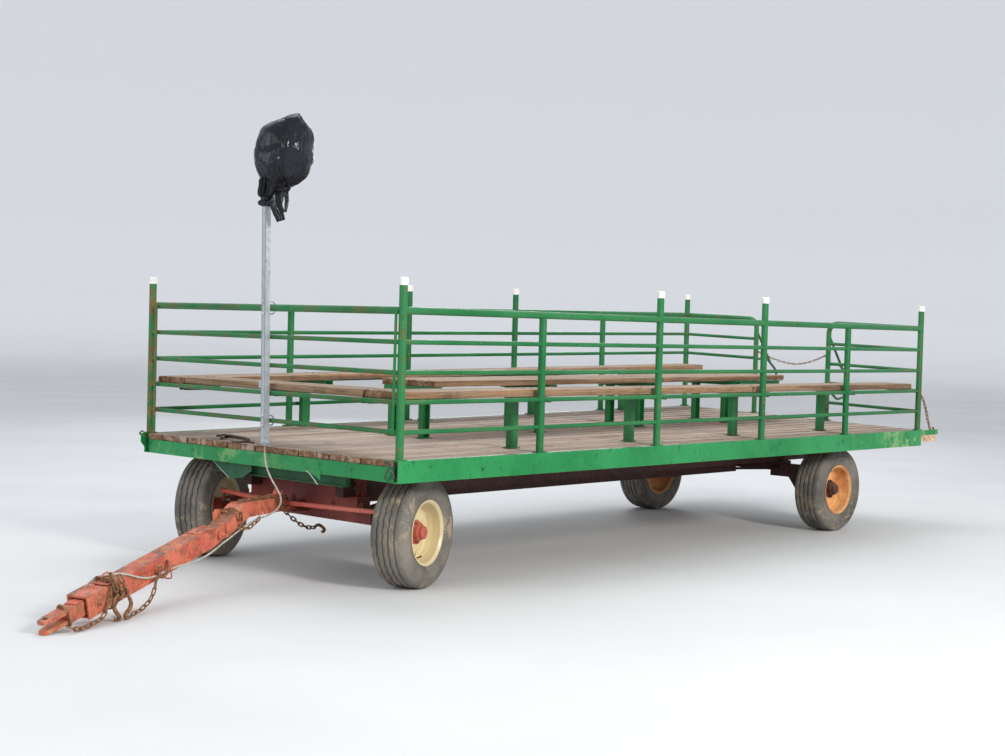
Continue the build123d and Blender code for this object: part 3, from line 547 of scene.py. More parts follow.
g1 = Mesh()
g1.tube(DROP, CABLE_D / 2, n=14)
cable_a = g1.obj("cable_to_head", M_CABLE, sharp=80)
g2 = Mesh()
g2.tube(RUN, CABLE_D / 2, n=14)
cable_b = g2.obj("cable_along_tongue", M_CABLE, sharp=80)
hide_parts("cable_drop")
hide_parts("cable_head", "cable_tongue")
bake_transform(cable_a)
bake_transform(cable_b)
print("cable", length_of(DROP), length_of(RUN))

# ---- materials of the wagon ------------------------------------------------
G_RAIL = paint("rail_paint", (0.004, 0.128, 0.033), (0.019, 0.180, 0.054), (0.006, 0.055, 0.020), rust=(0.15, 0.075, 0.028), spots=1.0, chips=0.75, streaks=0.40, dust=0.10, scuff=0.35, rough=0.33, edge=0.0, spec=0.32,
               places=((((0, 2.06, 2.16), (1, -1.05, -1.17)), (0.20, 0.16, 0.035), 0.85, 11.0), (((0, 2.06, 2.16), (1, -1.05, -1.17)), (0.20, 0.075, 0.022), 0.9, 23.0),
                       (((0, 1.95, 2.15),), (0.13, 0.095, 0.03), 0.55, 7.0), (((0, -3.2, -3.6),), (0.14, 0.075, 0.03), 0.45, 13.0)))
G_CHAN = paint("channel_paint", (0.003, 0.185, 0.044), (0.016, 0.26, 0.074), (0.002, 0.040, 0.016), spots=0.4, chips=0.22, streaks=0.08, dust=0.25, scuff=1.0, rough=0.33, edge=0.55, seed=2.7, spec=0.36,
               places=((((0, -3.10, -3.42), (1, 1.0, 1.1)), (0.26, 0.42, 0.17), 0.80, 8.0), (((0, -2.2, -3.6), (1, 1.0, 1.1)), (0.12, 0.36, 0.12), 0.45, 5.0), (((0, 2.10, 2.18), (1, 0.7, -0.6)), (0.15, 0.34, 0.11), 1.0, 3.1)))
G_LEG = paint("leg_paint", (0.006, 0.155, 0.040), (0.022, 0.215, 0.062), (0.010, 0.08, 0.03), spots=0.5, chips=0.3, streaks=0.2, dust=0.3, scuff=0.5, rough=0.4, edge=0.5, seed=5.1)
G_DARK = paint("frame_paint", (0.008, 0.075, 0.026), (0.02, 0.12, 0.05), (0.01, 0.03, 0.015), spots=0.8, chips=0.6, streaks=0.4, dust=0.55, scuff=0.6, rough=0.6, edge=0.5, seed=6.3)
G_HAND = paint("handrail_paint", (0.018, 0.10, 0.035), (0.05, 0.17, 0.07), (0.012, 0.04, 0.02), spots=0.8, chips=0.7, streaks=0.3, dust=0.15, scuff=0.7, rough=0.4, edge=0.0, seed=1.9)
R_TONG = paint("tongue_paint", (0.47, 0.070, 0.045), (0.62, 0.150, 0.095), (0.17, 0.035, 0.022), rust=(0.15, 0.045, 0.018), bright_rust=(0.46, 0.17, 0.06),
               spots=1.0, chips=1.0, streaks=0.45, top_rust=0.85, dust=0.16, dust_color=(0.36, 0.24, 0.15), scuff=0.8, rough=0.5, edge=0.9, seed=3.3, big=2.4,
               places=(((), (0.15, 0.055, 0.032), 0.55, 9.0), ((), (0.62, 0.26, 0.115), 0.50, 19.0), (((0, 3.3, 3.9),), (0.34, 0.14, 0.065), 0.6, 13.0)))
R_ROD = paint("rod_paint", (0.48, 0.072, 0.050), (0.60, 0.150, 0.110), (0.20, 0.035, 0.024), rust=(0.16, 0.05, 0.02), spots=0.6, chips=0.4, streaks=0.15, dust=0.15, scuff=0.5, rough=0.5, edge=0.5, seed=4.9, big=3.0)
R_GEAR = paint("gear_paint", (0.135, 0.020, 0.016), (0.26, 0.050, 0.035), (0.035, 0.012, 0.010), spots=0.7, chips=0.5, streaks=0.2, dust=0.45, scuff=0.6, rough=0.55, edge=0.6, seed=4.4, big=2.2)
R_SILL = paint("sill_paint", (0.038, 0.011, 0.008), (0.065, 0.020, 0.014), (0.018, 0.008, 0.007), spots=0.8, chips=0.6, streaks=0.4, dust=0.5, scuff=0.6, rough=0.65, edge=0.5, seed=7.1)
RIM_C = paint("rim_cream_paint", (0.68, 0.57, 0.33), (0.61, 0.51, 0.31), (0.30, 0.20, 0.09), spots=0.35, chips=0.12, streaks=0.05, dust=0.2, scuff=0.22, rough=0.34, edge=0.25, seed=8.2, big=3.0,
              rust=(0.28, 0.12, 0.04), dust_color=(0.42, 0.34, 0.22))
RIM_R = paint("rim_rust_paint", (0.80, 0.44, 0.18), (0.58, 0.23, 0.08), (0.16, 0.05, 0.02), spots=1.0, chips=0.9, streaks=0.5, dust=0.3, scuff=0.9, rough=0.72, edge=0.8, seed=9.5, big=5.5,
              rust=(0.20, 0.06, 0.02), bright_rust=(0.70, 0.42, 0.20), dust_color=(0.45, 0.33, 0.2))
HUB_R = paint("hub_red_paint", (0.36, 0.045, 0.032), (0.46, 0.10, 0.07), (0.10, 0.02, 0.015), spots=0.9, chips=0.7, streaks=0.2, dust=0.25, scuff=0.7, rough=0.42, edge=0.8, seed=1.2, big=6.0)
HUB_D = paint("hub_dark_rust", (0.045, 0.020, 0.014), (0.09, 0.035, 0.02), (0.015, 0.010, 0.008), spots=0.9, chips=0.8, streaks=0.3, dust=0.3, scuff=0.7, rough=0.6, edge=0.4, seed=1.7, big=6.0)


def rusty(name, a, b, c, rough=0.85, metal=0.0):
    m = Mat(name, rough=rough, spec=0.3, metallic=metal)
    k = m.mix(m.mr(m.noise(40, 5, 0.65), 0.34, 0.66), a, b)
    k = m.mix(m.mul(m.mr(m.noise(150, 4, 0.6), 0.52, 0.66), 0.7), k, c)
    return m.done(k, m.mr(m.noise(60, 3, 0.6), 0.3, 0.7, rough - 0.15, min(1.0, rough + 0.1)), m.bump(m.noise(260, 4, 0.65), 0.0006, 0.9))


CHAIN = rusty("chain_rust", (0.27, 0.130, 0.062), (0.12, 0.052, 0.028), (0.46, 0.26, 0.13))
R_FORK = paint("fork_worn", (0.50, 0.105, 0.055), (0.56, 0.185, 0.100), (0.13, 0.05, 0.03), rust=(0.20, 0.080, 0.035), bright_rust=(0.52, 0.28, 0.12), spots=1.0, chips=1.0, streaks=0.5,
               top_rust=0.75, top_rust_tones=((0.42, 0.16, 0.075), (0.16, 0.065, 0.032)), dust=0.18, dust_color=(0.42, 0.30, 0.19), scuff=0.9, rough=0.6, edge=0.9, seed=2.2, big=5.0,
               places=((((0, 4.03, 4.12), (2, 0.050, 0.040)), (0.46, 0.29, 0.14), 1.0, 6.0), (((0, 4.10, 4.19), (2, 0.045, 0.055)), (0.045, 0.028, 0.020), 1.0, 8.0), ((), (0.14, 0.055, 0.030), 0.5, 12.0)))
STEEL_OLD = rusty("old_steel", (0.11, 0.08, 0.06), (0.06, 0.045, 0.04), (0.20, 0.12, 0.07), rough=0.6)
SCREW = rusty("screw_heads", (0.07, 0.045, 0.03), (0.035, 0.025, 0.02), (0.13, 0.07, 0.04), rough=0.7)

m = Mat("galvanised_tube", rough=0.42, metallic=0.55, spec=0.4)
sp1 = m.voro(55, out="Color")
hue = m.axis(sp1, 0)
gc = m.mix(m.mr(hue, 0.0, 1.0, 0, 1, False), (0.43, 0.47, 0.50), (0.52, 0.56, 0.59))
gc = m.mix(m.mul(m.mr(m.noise(12, 5, 0.65, m.map((1, 1, 0.2))), 0.50, 0.70), 0.5), gc, (0.30, 0.32, 0.34))
gc = m.mix(m.mul(m.mr(m.noise(30, 5, 0.7), 0.62, 0.68), 0.7), gc, (0.22, 0.13, 0.07))
GALV = m.done(gc, m.mr(m.noise(25, 3, 0.6), 0.3, 0.7, 0.34, 0.55), m.bump(m.noise(180, 3, 0.6), 0.0003, 0.4))

m = Mat("white_cap_plastic", rough=0.42, spec=0.4)
wc = m.mix(m.mr(m.noise(20, 5, 0.6), 0.35, 0.75), (0.86, 0.86, 0.84), (0.70, 0.69, 0.65))
wc = m.mix(m.mul(m.mr(m.noise(60, 4, 0.7), 0.60, 0.66), 0.5), wc, (0.35, 0.32, 0.28))
CAP = m.done(wc, None, m.bump(m.noise(150, 2, 0.6), 0.0002, 0.5))

m = Mat("plug_rubber", rough=0.5, spec=0.35)
pc = m.mix(m.mr(m.noise(40, 4, 0.6), 0.35, 0.7), (0.018, 0.018, 0.018), (0.06, 0.052, 0.045))
PLUG = m.done(pc, None, m.bump(m.noise(300, 3, 0.6), 0.0003, 0.5))

m = Mat("bag_film", rough=0.2, spec=0.30)
bc = m.mix(m.mr(m.noise(6, 4, 0.6), 0.35, 0.7), (0.0030, 0.0040, 0.0075), (0.0100, 0.0125, 0.0190))
crk = m.noise(17, 5, 0.6, m.map((1, 1, 0.45)), 1.2)
crv = m.voro(17, vec=m.map((1, 1, 0.4)), feature="DISTANCE_TO_EDGE")
hh_ = m.math("ADD", m.math("MULTIPLY", crk, 0.8), m.math("MULTIPLY", m.mr(crv, 0.0, 0.10), 0.16))
BAG = m.done(bc, m.mr(m.noise(22, 4, 0.6), 0.3, 0.7, 0.13, 0.30), m.bump(hh_, 0.011, 0.7))

BENCH_W = wood("bench_boards", (0.47, 0.36, 0.27), (0.32, 0.22, 0.15), (0.11, 0.062, 0.035), along=0, end=(0.10, 0.055, 0.028), side=(0.35, 0.195, 0.098), dirt=0.40, grain=1.0, contrast=1.4)
BENCH_F = wood("front_bench_boards", (0.47, 0.36, 0.27), (0.32, 0.22, 0.15), (0.11, 0.062, 0.035), along=1, end=(0.10, 0.055, 0.028), side=(0.33, 0.20, 0.108), dirt=0.40, grain=1.0, contrast=1.4)
# the deck's side colour (0.20, 0.12, 0.068) is painted shade in the gaps between the boards, which makes the seams
# show as dark lines
DECK_W = wood("deck_boards", (0.62, 0.50, 0.42), (0.42, 0.32, 0.255), (0.16, 0.105, 0.078), along=0, end=(0.11, 0.060, 0.032),
              board=(0.141118, 1.198 + 0.0015, 1), side=(0.20, 0.12, 0.068), dirt=0.50, grain=0.8, contrast=1.25)
BLOCK_W = wood("block_wood_new", (0.60, 0.51, 0.36), (0.50, 0.40, 0.26), (0.34, 0.25, 0.15), along=1, end=(0.30, 0.22, 0.14), dirt=0.15)

# tyres: dark weathered rubber with pale dust and dried mud in the grooves and on the ribs
def tyre_mat(name, mud, dusty, seed):
    m = Mat(name, rough=0.8, spec=0.3)
    v = m.map(loc=(seed, -seed, seed * 0.5))
    c = m.mix(m.mr(m.noise(5, 5, 0.6, v), 0.35, 0.65), (0.075, 0.071, 0.065), (0.150, 0.139, 0.122))
    dustf = m.mr(m.noise(3.0, 4, 0.6, v), 0.30, 0.72)
    c = m.mix(m.mul(dustf, dusty), c, (0.30, 0.268, 0.22))
    md = m.mul(m.mr(m.noise(14, 7, 0.72, v, 0.8), 0.53, 0.60), m.mr(m.noise(3.4, 3, 0.6, v), 0.40, 0.58))
    c = m.mix(m.mul(md, mud), c, (0.38, 0.29, 0.195))
    side = m.mr(m.noise(40, 5, 0.65, v), 0.5, 0.7)
    c = m.mix(m.mul(side, 0.22), c, (0.15, 0.13, 0.105))
    h = m.math("ADD", m.noise(90, 5, 0.65, v), m.math("MULTIPLY", md, 0.8))
    return m.done(c, m.mr(dustf, 0, 1, 0.62, 0.92), m.bump(h, 0.0014, 0.6))


TYRE_F = tyre_mat("tyre_front", 0.85, 0.72, 0.0)
TYRE_FR = tyre_mat("tyre_front_right", 1.0, 0.85, 3.7)
TYRE_R = tyre_mat("tyre_rear", 0.75, 0.45, 6.1)

ASSIGN = {"rails_": G_RAIL, "posts_": G_RAIL, "gate_frames": G_RAIL, "side_channel": G_CHAN, "front_channel": G_CHAN, "rear_channel": G_CHAN, "rear_corner_step": G_CHAN,
          "bench_legs": G_LEG, "bench_legs_front": G_DARK, "cross_members": G_DARK, "sills": R_SILL, "front_axle": R_GEAR, "front_bolster": R_GEAR, "rear_axle": R_SILL, "reach_pole": R_SILL, "braces": R_SILL,
          "knuckle": R_GEAR, "steering_head": R_TONG, "tongue_": R_TONG, "hitch_bar": R_FORK, "tie_rod": R_ROD, "post_caps": CAP, "pole": GALV, "lamp_bag": BAG,
          "cable_": M_CABLE, "pole_grommet": PLUG, "cable_plug": PLUG, "boarding_handrails": G_HAND, "rim_front": RIM_C, "rim_rear": RIM_R, "hub_front": HUB_R, "hub_rear": HUB_D,
          "tyre_": TYRE_F, "deck_planks": DECK_W, "bench_": BENCH_W, "rear_corner_block": BLOCK_W}
for name, o in NODES.items():
    key = max((k for k in ASSIGN if name.startswith(k)), key=len)
    o.data.materials.clear()
    o.data.materials.append(ASSIGN[key])
NODES["bench_front"].data.materials.clear()
NODES["bench_front"].data.materials.append(BENCH_F)

# ---- boards ----------------------------------------------------------------
def tilt_point(x, y, z, yc):
    a = math.atan(TWIST * (POST_Y - yc))
    dx, dz = x - END_X, z - DECK_TOP
    return (END_X + dx * math.cos(a) + dz * math.sin(a), y, DECK_TOP - dx * math.sin(a) + dz * math.cos(a))


def board(mesh, a0, a1, b0, b1, z0, z1, seed, along=0, place=None, step=70.0, r=5.0, rough=1.0, ragged=5.0, mat=0):
    # one sawn board with worn corners; a runs along it, b across
    rnd = random.Random(seed)
    sx, sy = rnd.uniform(0, 50), rnd.uniform(0, 50)
    prof = []
    nb = max(3, int((b1 - b0) / 45))
    for i in range(nb + 1):
        prof.append((b0 + r + (b1 - b0 - 2 * r) * i / nb, z1))
    prof.append((b1 - r * 0.3, z1 - r * 0.3))
    for i in range(3):
        prof.append((b1, z1 - r - (z1 - z0 - 2 * r) * i / 2))
    prof.append((b1 - r * 0.3, z0 + r * 0.3))
    for i in range(nb + 1):
        prof.append((b1 - r - (b1 - b0 - 2 * r) * i / nb, z0))
    prof.append((b0 + r * 0.3, z0 + r * 0.3))
    for i in range(3):
        prof.append((b0, z0 + r + (z1 - z0 - 2 * r) * i / 2))
    prof.append((b0 + r * 0.3, z1 - r * 0.3))
    n = max(2, int((a1 - a0) / step))
    rows = []
    bc, zc = (b0 + b1) / 2, (z0 + z1) / 2

    def ring(a, inset=0.0, end=0):
        out = []
        for b, z in prof:
            bb, zz = b, z
            if inset:
                bb += (bc - b) * min(1.0, inset / max(1.0, abs(bc - b)))
                zz += (zc - z) * min(1.0, inset / max(1.0, abs(zc - z)))
            q = Vector((a * 0.004 + sx, b * 0.02 + sy, z * 0.03))
            w = mnoise.noise(q) * rough
            aa = a
            if end:
                aa = a - end * abs(mnoise.noise(Vector((b * 0.06 + sx, z * 0.09, sy)))) * ragged * 1.6
            edge = 1.0 if abs(b - b0) < 0.1 or abs(b - b1) < 0.1 or abs(zz - z) > 0 else 0.6
            bb += (-1 if b > bc else 1) * abs(w) * edge
            zz += (-1 if z > zc else 1) * abs(mnoise.noise(q * 1.7 + Vector((9, 3, 1)))) * rough * 0.8
            t = (aa, bb, zz) if along == 0 else (bb, aa, zz)
            out.append(P(*(place(*t) if place else t)))
        return out

    rows.append(ring(a0, r * 0.7, -1))
    rows.append(ring(a0 + r * 0.6, 0, -1))
    for i in range(1, n):
        rows.append(ring(a0 + (a1 - a0) * i / n + rnd.uniform(-9, 9)))
    rows.append(ring(a1 - r * 0.6, 0, 1))
    rows.append(ring(a1, r * 0.7, 1))
    if along == 1:
        rows = [list(reversed(rw)) for rw in rows]
    mesh.grid([list(reversed(rw)) for rw in rows], mat=mat, cap=True)


inner_y = 1198.0
pitch = (2 * inner_y + 3.0) / 17
dk = Mesh()
rag = (0, 6, 2, 9, 4, 1, 7, 3, 10, 5, 0, 8, 2, 6, 1, 4, 3)
screws = Mesh()
CM_XS = [2540, 1990, 1385, 780, 175, -430, -1035, -1640, -2245, -2780]
rs = random.Random(5)
for i in range(17):
    y0 = -inner_y + i * pitch
    y1 = y0 + pitch - 3.0
    yc = (y0 + y1) / 2
    board(dk, -3042.0, 3050.0 - rag[i], y0 + 3.0, y1 - 3.0, 762.0, 800.0, 100 + i, place=lambda x, y, z, yc=yc: tilt_point(x, y, z, yc), step=60, r=4.5, rough=1.6, ragged=9)
    for x in CM_XS:
        for yy in (y0 + 28 + rs.uniform(-7, 7), y1 - 28 + rs.uniform(-7, 7)):
            p = P(*tilt_point(x + rs.uniform(-9, 9), yy, 800.0, yc))
            screws.disc(p - Vector((0, 0, 0.0012)), (0, 0, 1), 0.0055, 0.0018, 0, 7)
deck = dk.obj("deck_boards", DECK_W, "wagon", "deck_wood", sharp=40)
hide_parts("deck_planks")
screws.obj("deck_screws", SCREW, "wagon")


def bench(name, node, parts, mat, seed, along=0, place=None, r=8.0):
    b = Mesh()
    for k, (a0, a1, b0, b1, z0, z1) in enumerate(parts):
        board(b, a0, a1, b0, b1, z0, z1, seed + k, along=along, place=place, step=55, r=r, rough=3.2, ragged=14)
    o = b.obj(name, mat, "wagon", "bench_wood", sharp=40)
    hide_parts(node)
    return o


def right_tilt(x, y, z):
    a = math.radians(0.885)
    dx, dz = x - 2660, z - 1193
    return (2660 + dx * math.cos(a) + dz * math.sin(a), y, 1193 - dx * math.sin(a) + dz * math.cos(a))


def centre_tilt(x, y, z):
    a = math.radians(0.335)
    dx, dz = x - 1750, z - 1203
    return (1750 + dx * math.cos(a) + dz * math.sin(a), y, 1203 - dx * math.sin(a) + dz * math.cos(a))


bench("bench_left_boards", "bench_left", [(x0, x1, y0, y1, 1147, 1193) for x0, x1 in ((-2998, -622), (-618, 2998)) for y0, y1 in ((885, 1039), (1043, 1170))], BENCH_W, 10)
bench("bench_right_boards", "bench_right", [(x0, x1, y0, y1, 1148, 1193) for x0, x1 in ((-2845, -660), (-656, 3008)) for y0, y1 in ((-1170, -1030), (-1027, -885))], BENCH_W, 20, place=right_tilt)
bench("bench_centre_boards", "bench_centre", [(x0, x1, y0, y1, 1161, 1203) for x0, x1 in ((-2520, -790), (-786, 1750)) for y0, y1 in ((-315, -184), (-181, -57), (-54, 88), (91, 205))], BENCH_W, 30, place=centre_tilt)
bench("bench_front_boards", "bench_front", [(-882, 882, x0, x1, 1147, 1193) for x0, x1 in ((2715, 2856), (2859, 3000))], BENCH_F, 40, along=1)

# ---- tyres, nuts and valves ------------------------------------------------
def wheel_frame(name):
    j = JOINTS["wheel_spin_" + name]
    c = Vector(j["pos_m"])
    a = Vector(j["axis"]).normalized()
    if name.endswith("right"):
        a = -a
    fwd = a.cross(Vector((0, 0, 1))).normalized()
    upw = fwd.cross(a).normalized()
    if upw.z < 0:
        upw = -upw
    return c, a, fwd, upw


def tyre(name, mat, seed):
    c, a, fwd, upw = wheel_frame(name)
    prof = [(188.3, 91), (193, 96), (199, 99), (201.5, 100.6), (205, 101), (208, 103.5), (213, 106), (217, 107.2), (221, 109.6), (226, 112.2), (231, 114.6), (238, 117.4), (247, 120), (256, 122),
            (264, 123), (266, 124.2), (270, 124.2), (272, 122.8), (282, 121), (291, 118.6), (297, 116.6), (303, 115.6), (306, 114), (312, 111.6), (319, 108.6), (325, 104.6), (329.5, 100), (332.5, 95)]
    ribs = [(334.3, 88), (335.6, 80), (336.4, 68), (335.9, 65.5), (327.5, 63.5), (327.3, 55), (335.6, 53), (337.2, 50), (337.8, 40), (337.8, 28.5), (337.2, 25.5), (328.3, 23.5), (328.3, 14.5), (337.3, 12.5), (338.0, 9)]
    pts = [(r, w, 0) for r, w in prof] + [(r, w, k) for k, (r, w) in enumerate(ribs, 1)]
    full = pts + [(r, -w, k) for r, w, k in reversed(pts)]
    N = 180
    mesh = Mesh()
    rows = []
    for i in range(N):
        th = 2 * math.pi * i / N
        zig = (abs((i % 6) - 3) - 1.5) * 2.0
        ring = []
        for r, w, k in full:
            ww, rr = w, r
            if 3 <= k <= 14 and k not in (9,):
                ww = w + zig * (1 if k < 9 else 0.9)
            if k:
                rr = r - 0.9 * max(0, mnoise.noise(Vector((math.cos(th) * 3 + seed, math.sin(th) * 3, w * 0.04))))
            elif 300 < r and i % 6 in (0, 3):
                rr = r - 0.0
            p = c + a * (ww / 1000) + (fwd * math.cos(th) + upw * math.sin(th)) * (rr / 1000)
            if p.z < 0.0005:
                p.z = 0.0005
            ring.append(p)
        rows.append(ring)
    mesh.grid(rows, closed_u=True, closed_v=True)
    o = mesh.obj("tyre_" + name + "_ribbed", mat, "wheel_" + name, "tyre_rubber", sharp=50)
    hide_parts("tyre_" + name)
    g = Mesh()
    front = name.startswith("front")
    for k in range(6):
        th = 2 * math.pi * k / 6 + 0.35
        d = fwd * math.cos(th) + upw * math.sin(th)
        p = c + a * 0.0195 + d * 0.0635
        g.hexa(p, a, 0.021, 0.014, 0, turn=k)
        g.disc(p + a * 0.014, a, 0.0062, 0.007, 0, 10)
        # bolts that hold the dish to the rim, seen between the spokes of shadow
    for k in range(4):
        th = 2 * math.pi * k / 4 + 0.9
        d = fwd * math.cos(th) + upw * math.sin(th)
        g.disc(c + a * 0.0855 + d * 0.012, a, 0.0032, 0.002, 0, 8)
    g.disc(c + a * 0.086, a, 0.0085, 0.004, 0, 14)
    g.obj("lug_nuts_" + name, HUB_R if front else HUB_D, "wheel_" + name, "hub_red" if front else "hub_dark")
    v = Mesh()
    th = math.radians(-97 if front else -60)
    d = fwd * math.cos(th) + upw * math.sin(th)
    e = fwd * -math.sin(th) + upw * math.cos(th)
    base = c + d * 0.166 + a * 0.008
    v.tube([base, base + a * 0.012 - d * 0.003, base + a * 0.034 - d * 0.012], [0.0062, 0.0045, 0.0038], n=10)
    v.tube([base + a * 0.034 - d * 0.012, base + a * 0.046 - d * 0.0165], [0.0052, 0.005], n=10)
    for s in (1, -1):
        q = c + d * 0.150 + a * 0.0035
        v.plate([q + e * (0.014 * s) - d * 0.011, q + e * (0.006 * s) - d * 0.012, q + e * (0.006 * s) + d * 0.012, q + e * (0.014 * s) + d * 0.011], 0.003)
    v.obj("valve_" + name, PLUG, "wheel_" + name)
    return o


for k, (nm, mt) in enumerate((("front_left", TYRE_F), ("front_right", TYRE_FR), ("rear_left", TYRE_R), ("rear_right", TYRE_R))):
    tyre(nm, mt, k * 11.3)

# ---- lamp under its bag ----------------------------------------------------
POLE_TOP = P(3063, 57 - math.tan(math.radians(1.4)) * (2335 - 820), 2335)
TIE = P(3063, 57 - math.tan(math.radians(1.4)) * (2331 - 820), 2331)


CAM = Vector((9.3536 + SHIFT, 7.8733, 1.5928 + BASE))


def seen(u, v, ref, near=0.0):
    # the place that shows at (u, v) of a 1005 x 756 picture, at the depth of ref or nearer
    d = right * ((u - 502.5) / 1606.13) - upv * ((v - 378.0) / 1606.13) - back
    return CAM + d * ((CAM - ref).dot(back) - near)


def ridge(p):
    return 1.0 - abs(mnoise.noise(p)) * 2.2


BAG_MID = P(3028, 148, 2613)
OUTLINE = [(296, 113.4), (287, 116), (275, 119.5), (263, 126), (256.6, 136.5), (253.6, 147), (252.6, 158), (254.6, 168), (258.5, 177), (266, 187), (276, 190), (286, 189.5),
           (296, 185.5), (306.5, 178.5), (312.5, 167), (316, 156.5), (315, 144), (312.4, 128), (307, 119), (300, 113)]
GATHER = seen(286.0, 187.0, BAG_MID, 0.062)
CROWN = seen(297.5, 114.0, BAG_MID, 0.03)


def make_bag():
    rnd = random.Random(21)
    mesh = Mesh()
    c = BAG_MID
    pts = [seen(u, v, c) - c for u, v in OUTLINE]
    polar = sorted((math.atan2(p.dot(upv), p.dot(right)), math.hypot(p.dot(upv), p.dot(right))) for p in pts)
    angs = [polar[-1][0] - 2 * math.pi] + [q[0] for q in polar] + [polar[0][0] + 2 * math.pi]
    rads = [polar[-1][1]] + [q[1] for q in polar] + [polar[0][1]]
    planes = []
    k = 17
    for i in range(k):
        z = 1 - 2 * (i + 0.5) / k
        an = i * 2.399963 + rnd.uniform(-0.3, 0.3)
        rr = math.sqrt(max(0, 1 - z * z))
        planes.append((Vector((rr * math.cos(an), rr * math.sin(an), z)).normalized(), rnd.uniform(0.86, 1.0)))
    ax = (GATHER - CROWN).normalized()
    e1 = ax.cross(back).normalized()
    e2 = ax.cross(e1)
    span = (GATHER - CROWN).length
    nu, nv = 176, 116
    rows = []
    for i in range(nv + 1):
        ps = math.pi * (0.004 + 0.992 * i / nv)
        ring = []
        for j in range(nu):
            th = -math.pi + 2 * math.pi * j / nu
            out = float(np.interp(th, angs, rads)) - 0.004
            u = right * (math.cos(th) * math.sin(ps)) + upv * (math.sin(th) * math.sin(ps)) + back * math.cos(ps)
            soft = 0.0
            for nrm, d in planes:
                q = u.dot(nrm)
                if q > 0.05:
                    soft += (q / d) ** 56
            r = min(1.0, max(0.86, soft ** (-1 / 56) * 0.99))
            flat = math.sin(ps) ** 2
            r = r * (1 - flat) + (0.5 + 0.5 * r) * flat
            p = c + (right * math.cos(th) + upv * math.sin(th)) * (out * math.sin(ps) * r) + back * (0.178 * math.cos(ps) * r)
            w = p - CROWN
            s_ = w.dot(ax) / span
            an = math.atan2(w.dot(e2), w.dot(e1))
            g = (p - GATHER).length
            k_ = (p - CROWN).length
            pull = math.exp(-g / 0.16)
            tug = math.exp(-k_ / 0.075)
            # creases that run to the gather and a few to the crown
            cr = 0.0215 * (ridge(Vector((math.cos(an) * 2.7, math.sin(an) * 2.7, s_ * 0.5 + 3.0))) - 0.45) * (0.05 + 1.15 * pull)
            cr += 0.0095 * (ridge(Vector((math.cos(an) * 6.5, math.sin(an) * 6.5, s_ * 0.8))) - 0.45) * (0.03 + 1.2 * pull + 1.3 * tug)
            cr += 0.0052 * (ridge(p * 9 + Vector((1, 5, 2))) - 0.5) + 0.0016 * mnoise.noise(p * 34)
            # taut folds across the body
            cr += 0.0105 * (ridge(Vector((w.dot(e1) * 5.2 - w.dot(ax) * 3.4, w.dot(e2) * 2.4, 0.3))) - 0.6) + 0.0050 * (ridge(Vector((w.dot(e1) * 3.1 + w.dot(ax) * 7.4, w.dot(e2) * 3.0, 5.3))) - 0.6)
            nrm = (p - c).normalized()
            p = p + nrm * (cr * (1.0 - 0.35 * flat) - 0.0025)
            p = p.lerp(GATHER, 0.30 * math.exp(-(g / 0.055) ** 2))
            ring.append(p)
        rows.append(ring)
    mesh.grid(rows, cap=False)
    for rw, flip in ((rows[0], False), (rows[-1], True)):
        k0 = len(mesh.v)
        base = 0 if not flip else nv * nu
        mesh.v.append(tuple(sum(rw, Vector()) / nu))
        for j in range(nu):
            f = (base + j, k0, base + (j + 1) % nu)
            mesh.f.append(f if not flip else f[::-1])
            mesh.m.append(0)
    # bunched film round the top of the pole, below and left of the body
    up_ = Vector((0, -math.tan(math.radians(1.4)), 1)).normalized()
    x1 = up_.cross(back).normalized()
    x2 = up_.cross(x1)
    prof = [(-0.046, 0.0345, 0.002, 0.0), (-0.038, 0.048, 0.007, 0.0), (-0.022, 0.050, 0.010, 0.0), (-0.008, 0.0385, 0.005, 0.0), (0.0, 0.0325, 0.002, 0.0), (0.006, 0.036, 0.004, 0.0), (0.016, 0.060, 0.009, 0.012),
            (0.032, 0.080, 0.013, 0.030), (0.056, 0.090, 0.014, 0.042), (0.082, 0.092, 0.013, 0.047), (0.106, 0.086, 0.011, 0.046), (0.128, 0.072, 0.009, 0.042), (0.146, 0.048, 0.006, 0.036), (0.154, 0.018, 0.002, 0.032)]
    rows = []
    nn = 132
    for z, rad, fold, off in prof:
        near = 0.062 * min(1.0, max(0.0, (z - 0.006) / 0.09))
        ring = []
        for j in range(nn):
            an = 2 * math.pi * j / nn
            q = Vector((math.cos(an) * 3.4, math.sin(an) * 3.4, z * 5.0))
            f = (ridge(q) - 0.35) * 1.1 + 0.55 * math.sin(an * 15 + 2.0 * math.sin(an * 3) + z * 22) + 0.4 * mnoise.noise(q * 2.6)
            side_ = 1.0 + 0.10 * math.cos(an - 0.4)
            ring.append(TIE + up_ * (z + 0.006 * mnoise.noise(Vector((math.cos(an) * 2, math.sin(an) * 2, z * 9)))) + right * off + back * near
                        + (x1 * math.cos(an) + x2 * math.sin(an)) * (rad * side_ + fold * f))
        rows.append(ring)
    mesh.grid(rows, cap=True)
    return mesh


bag = make_bag()
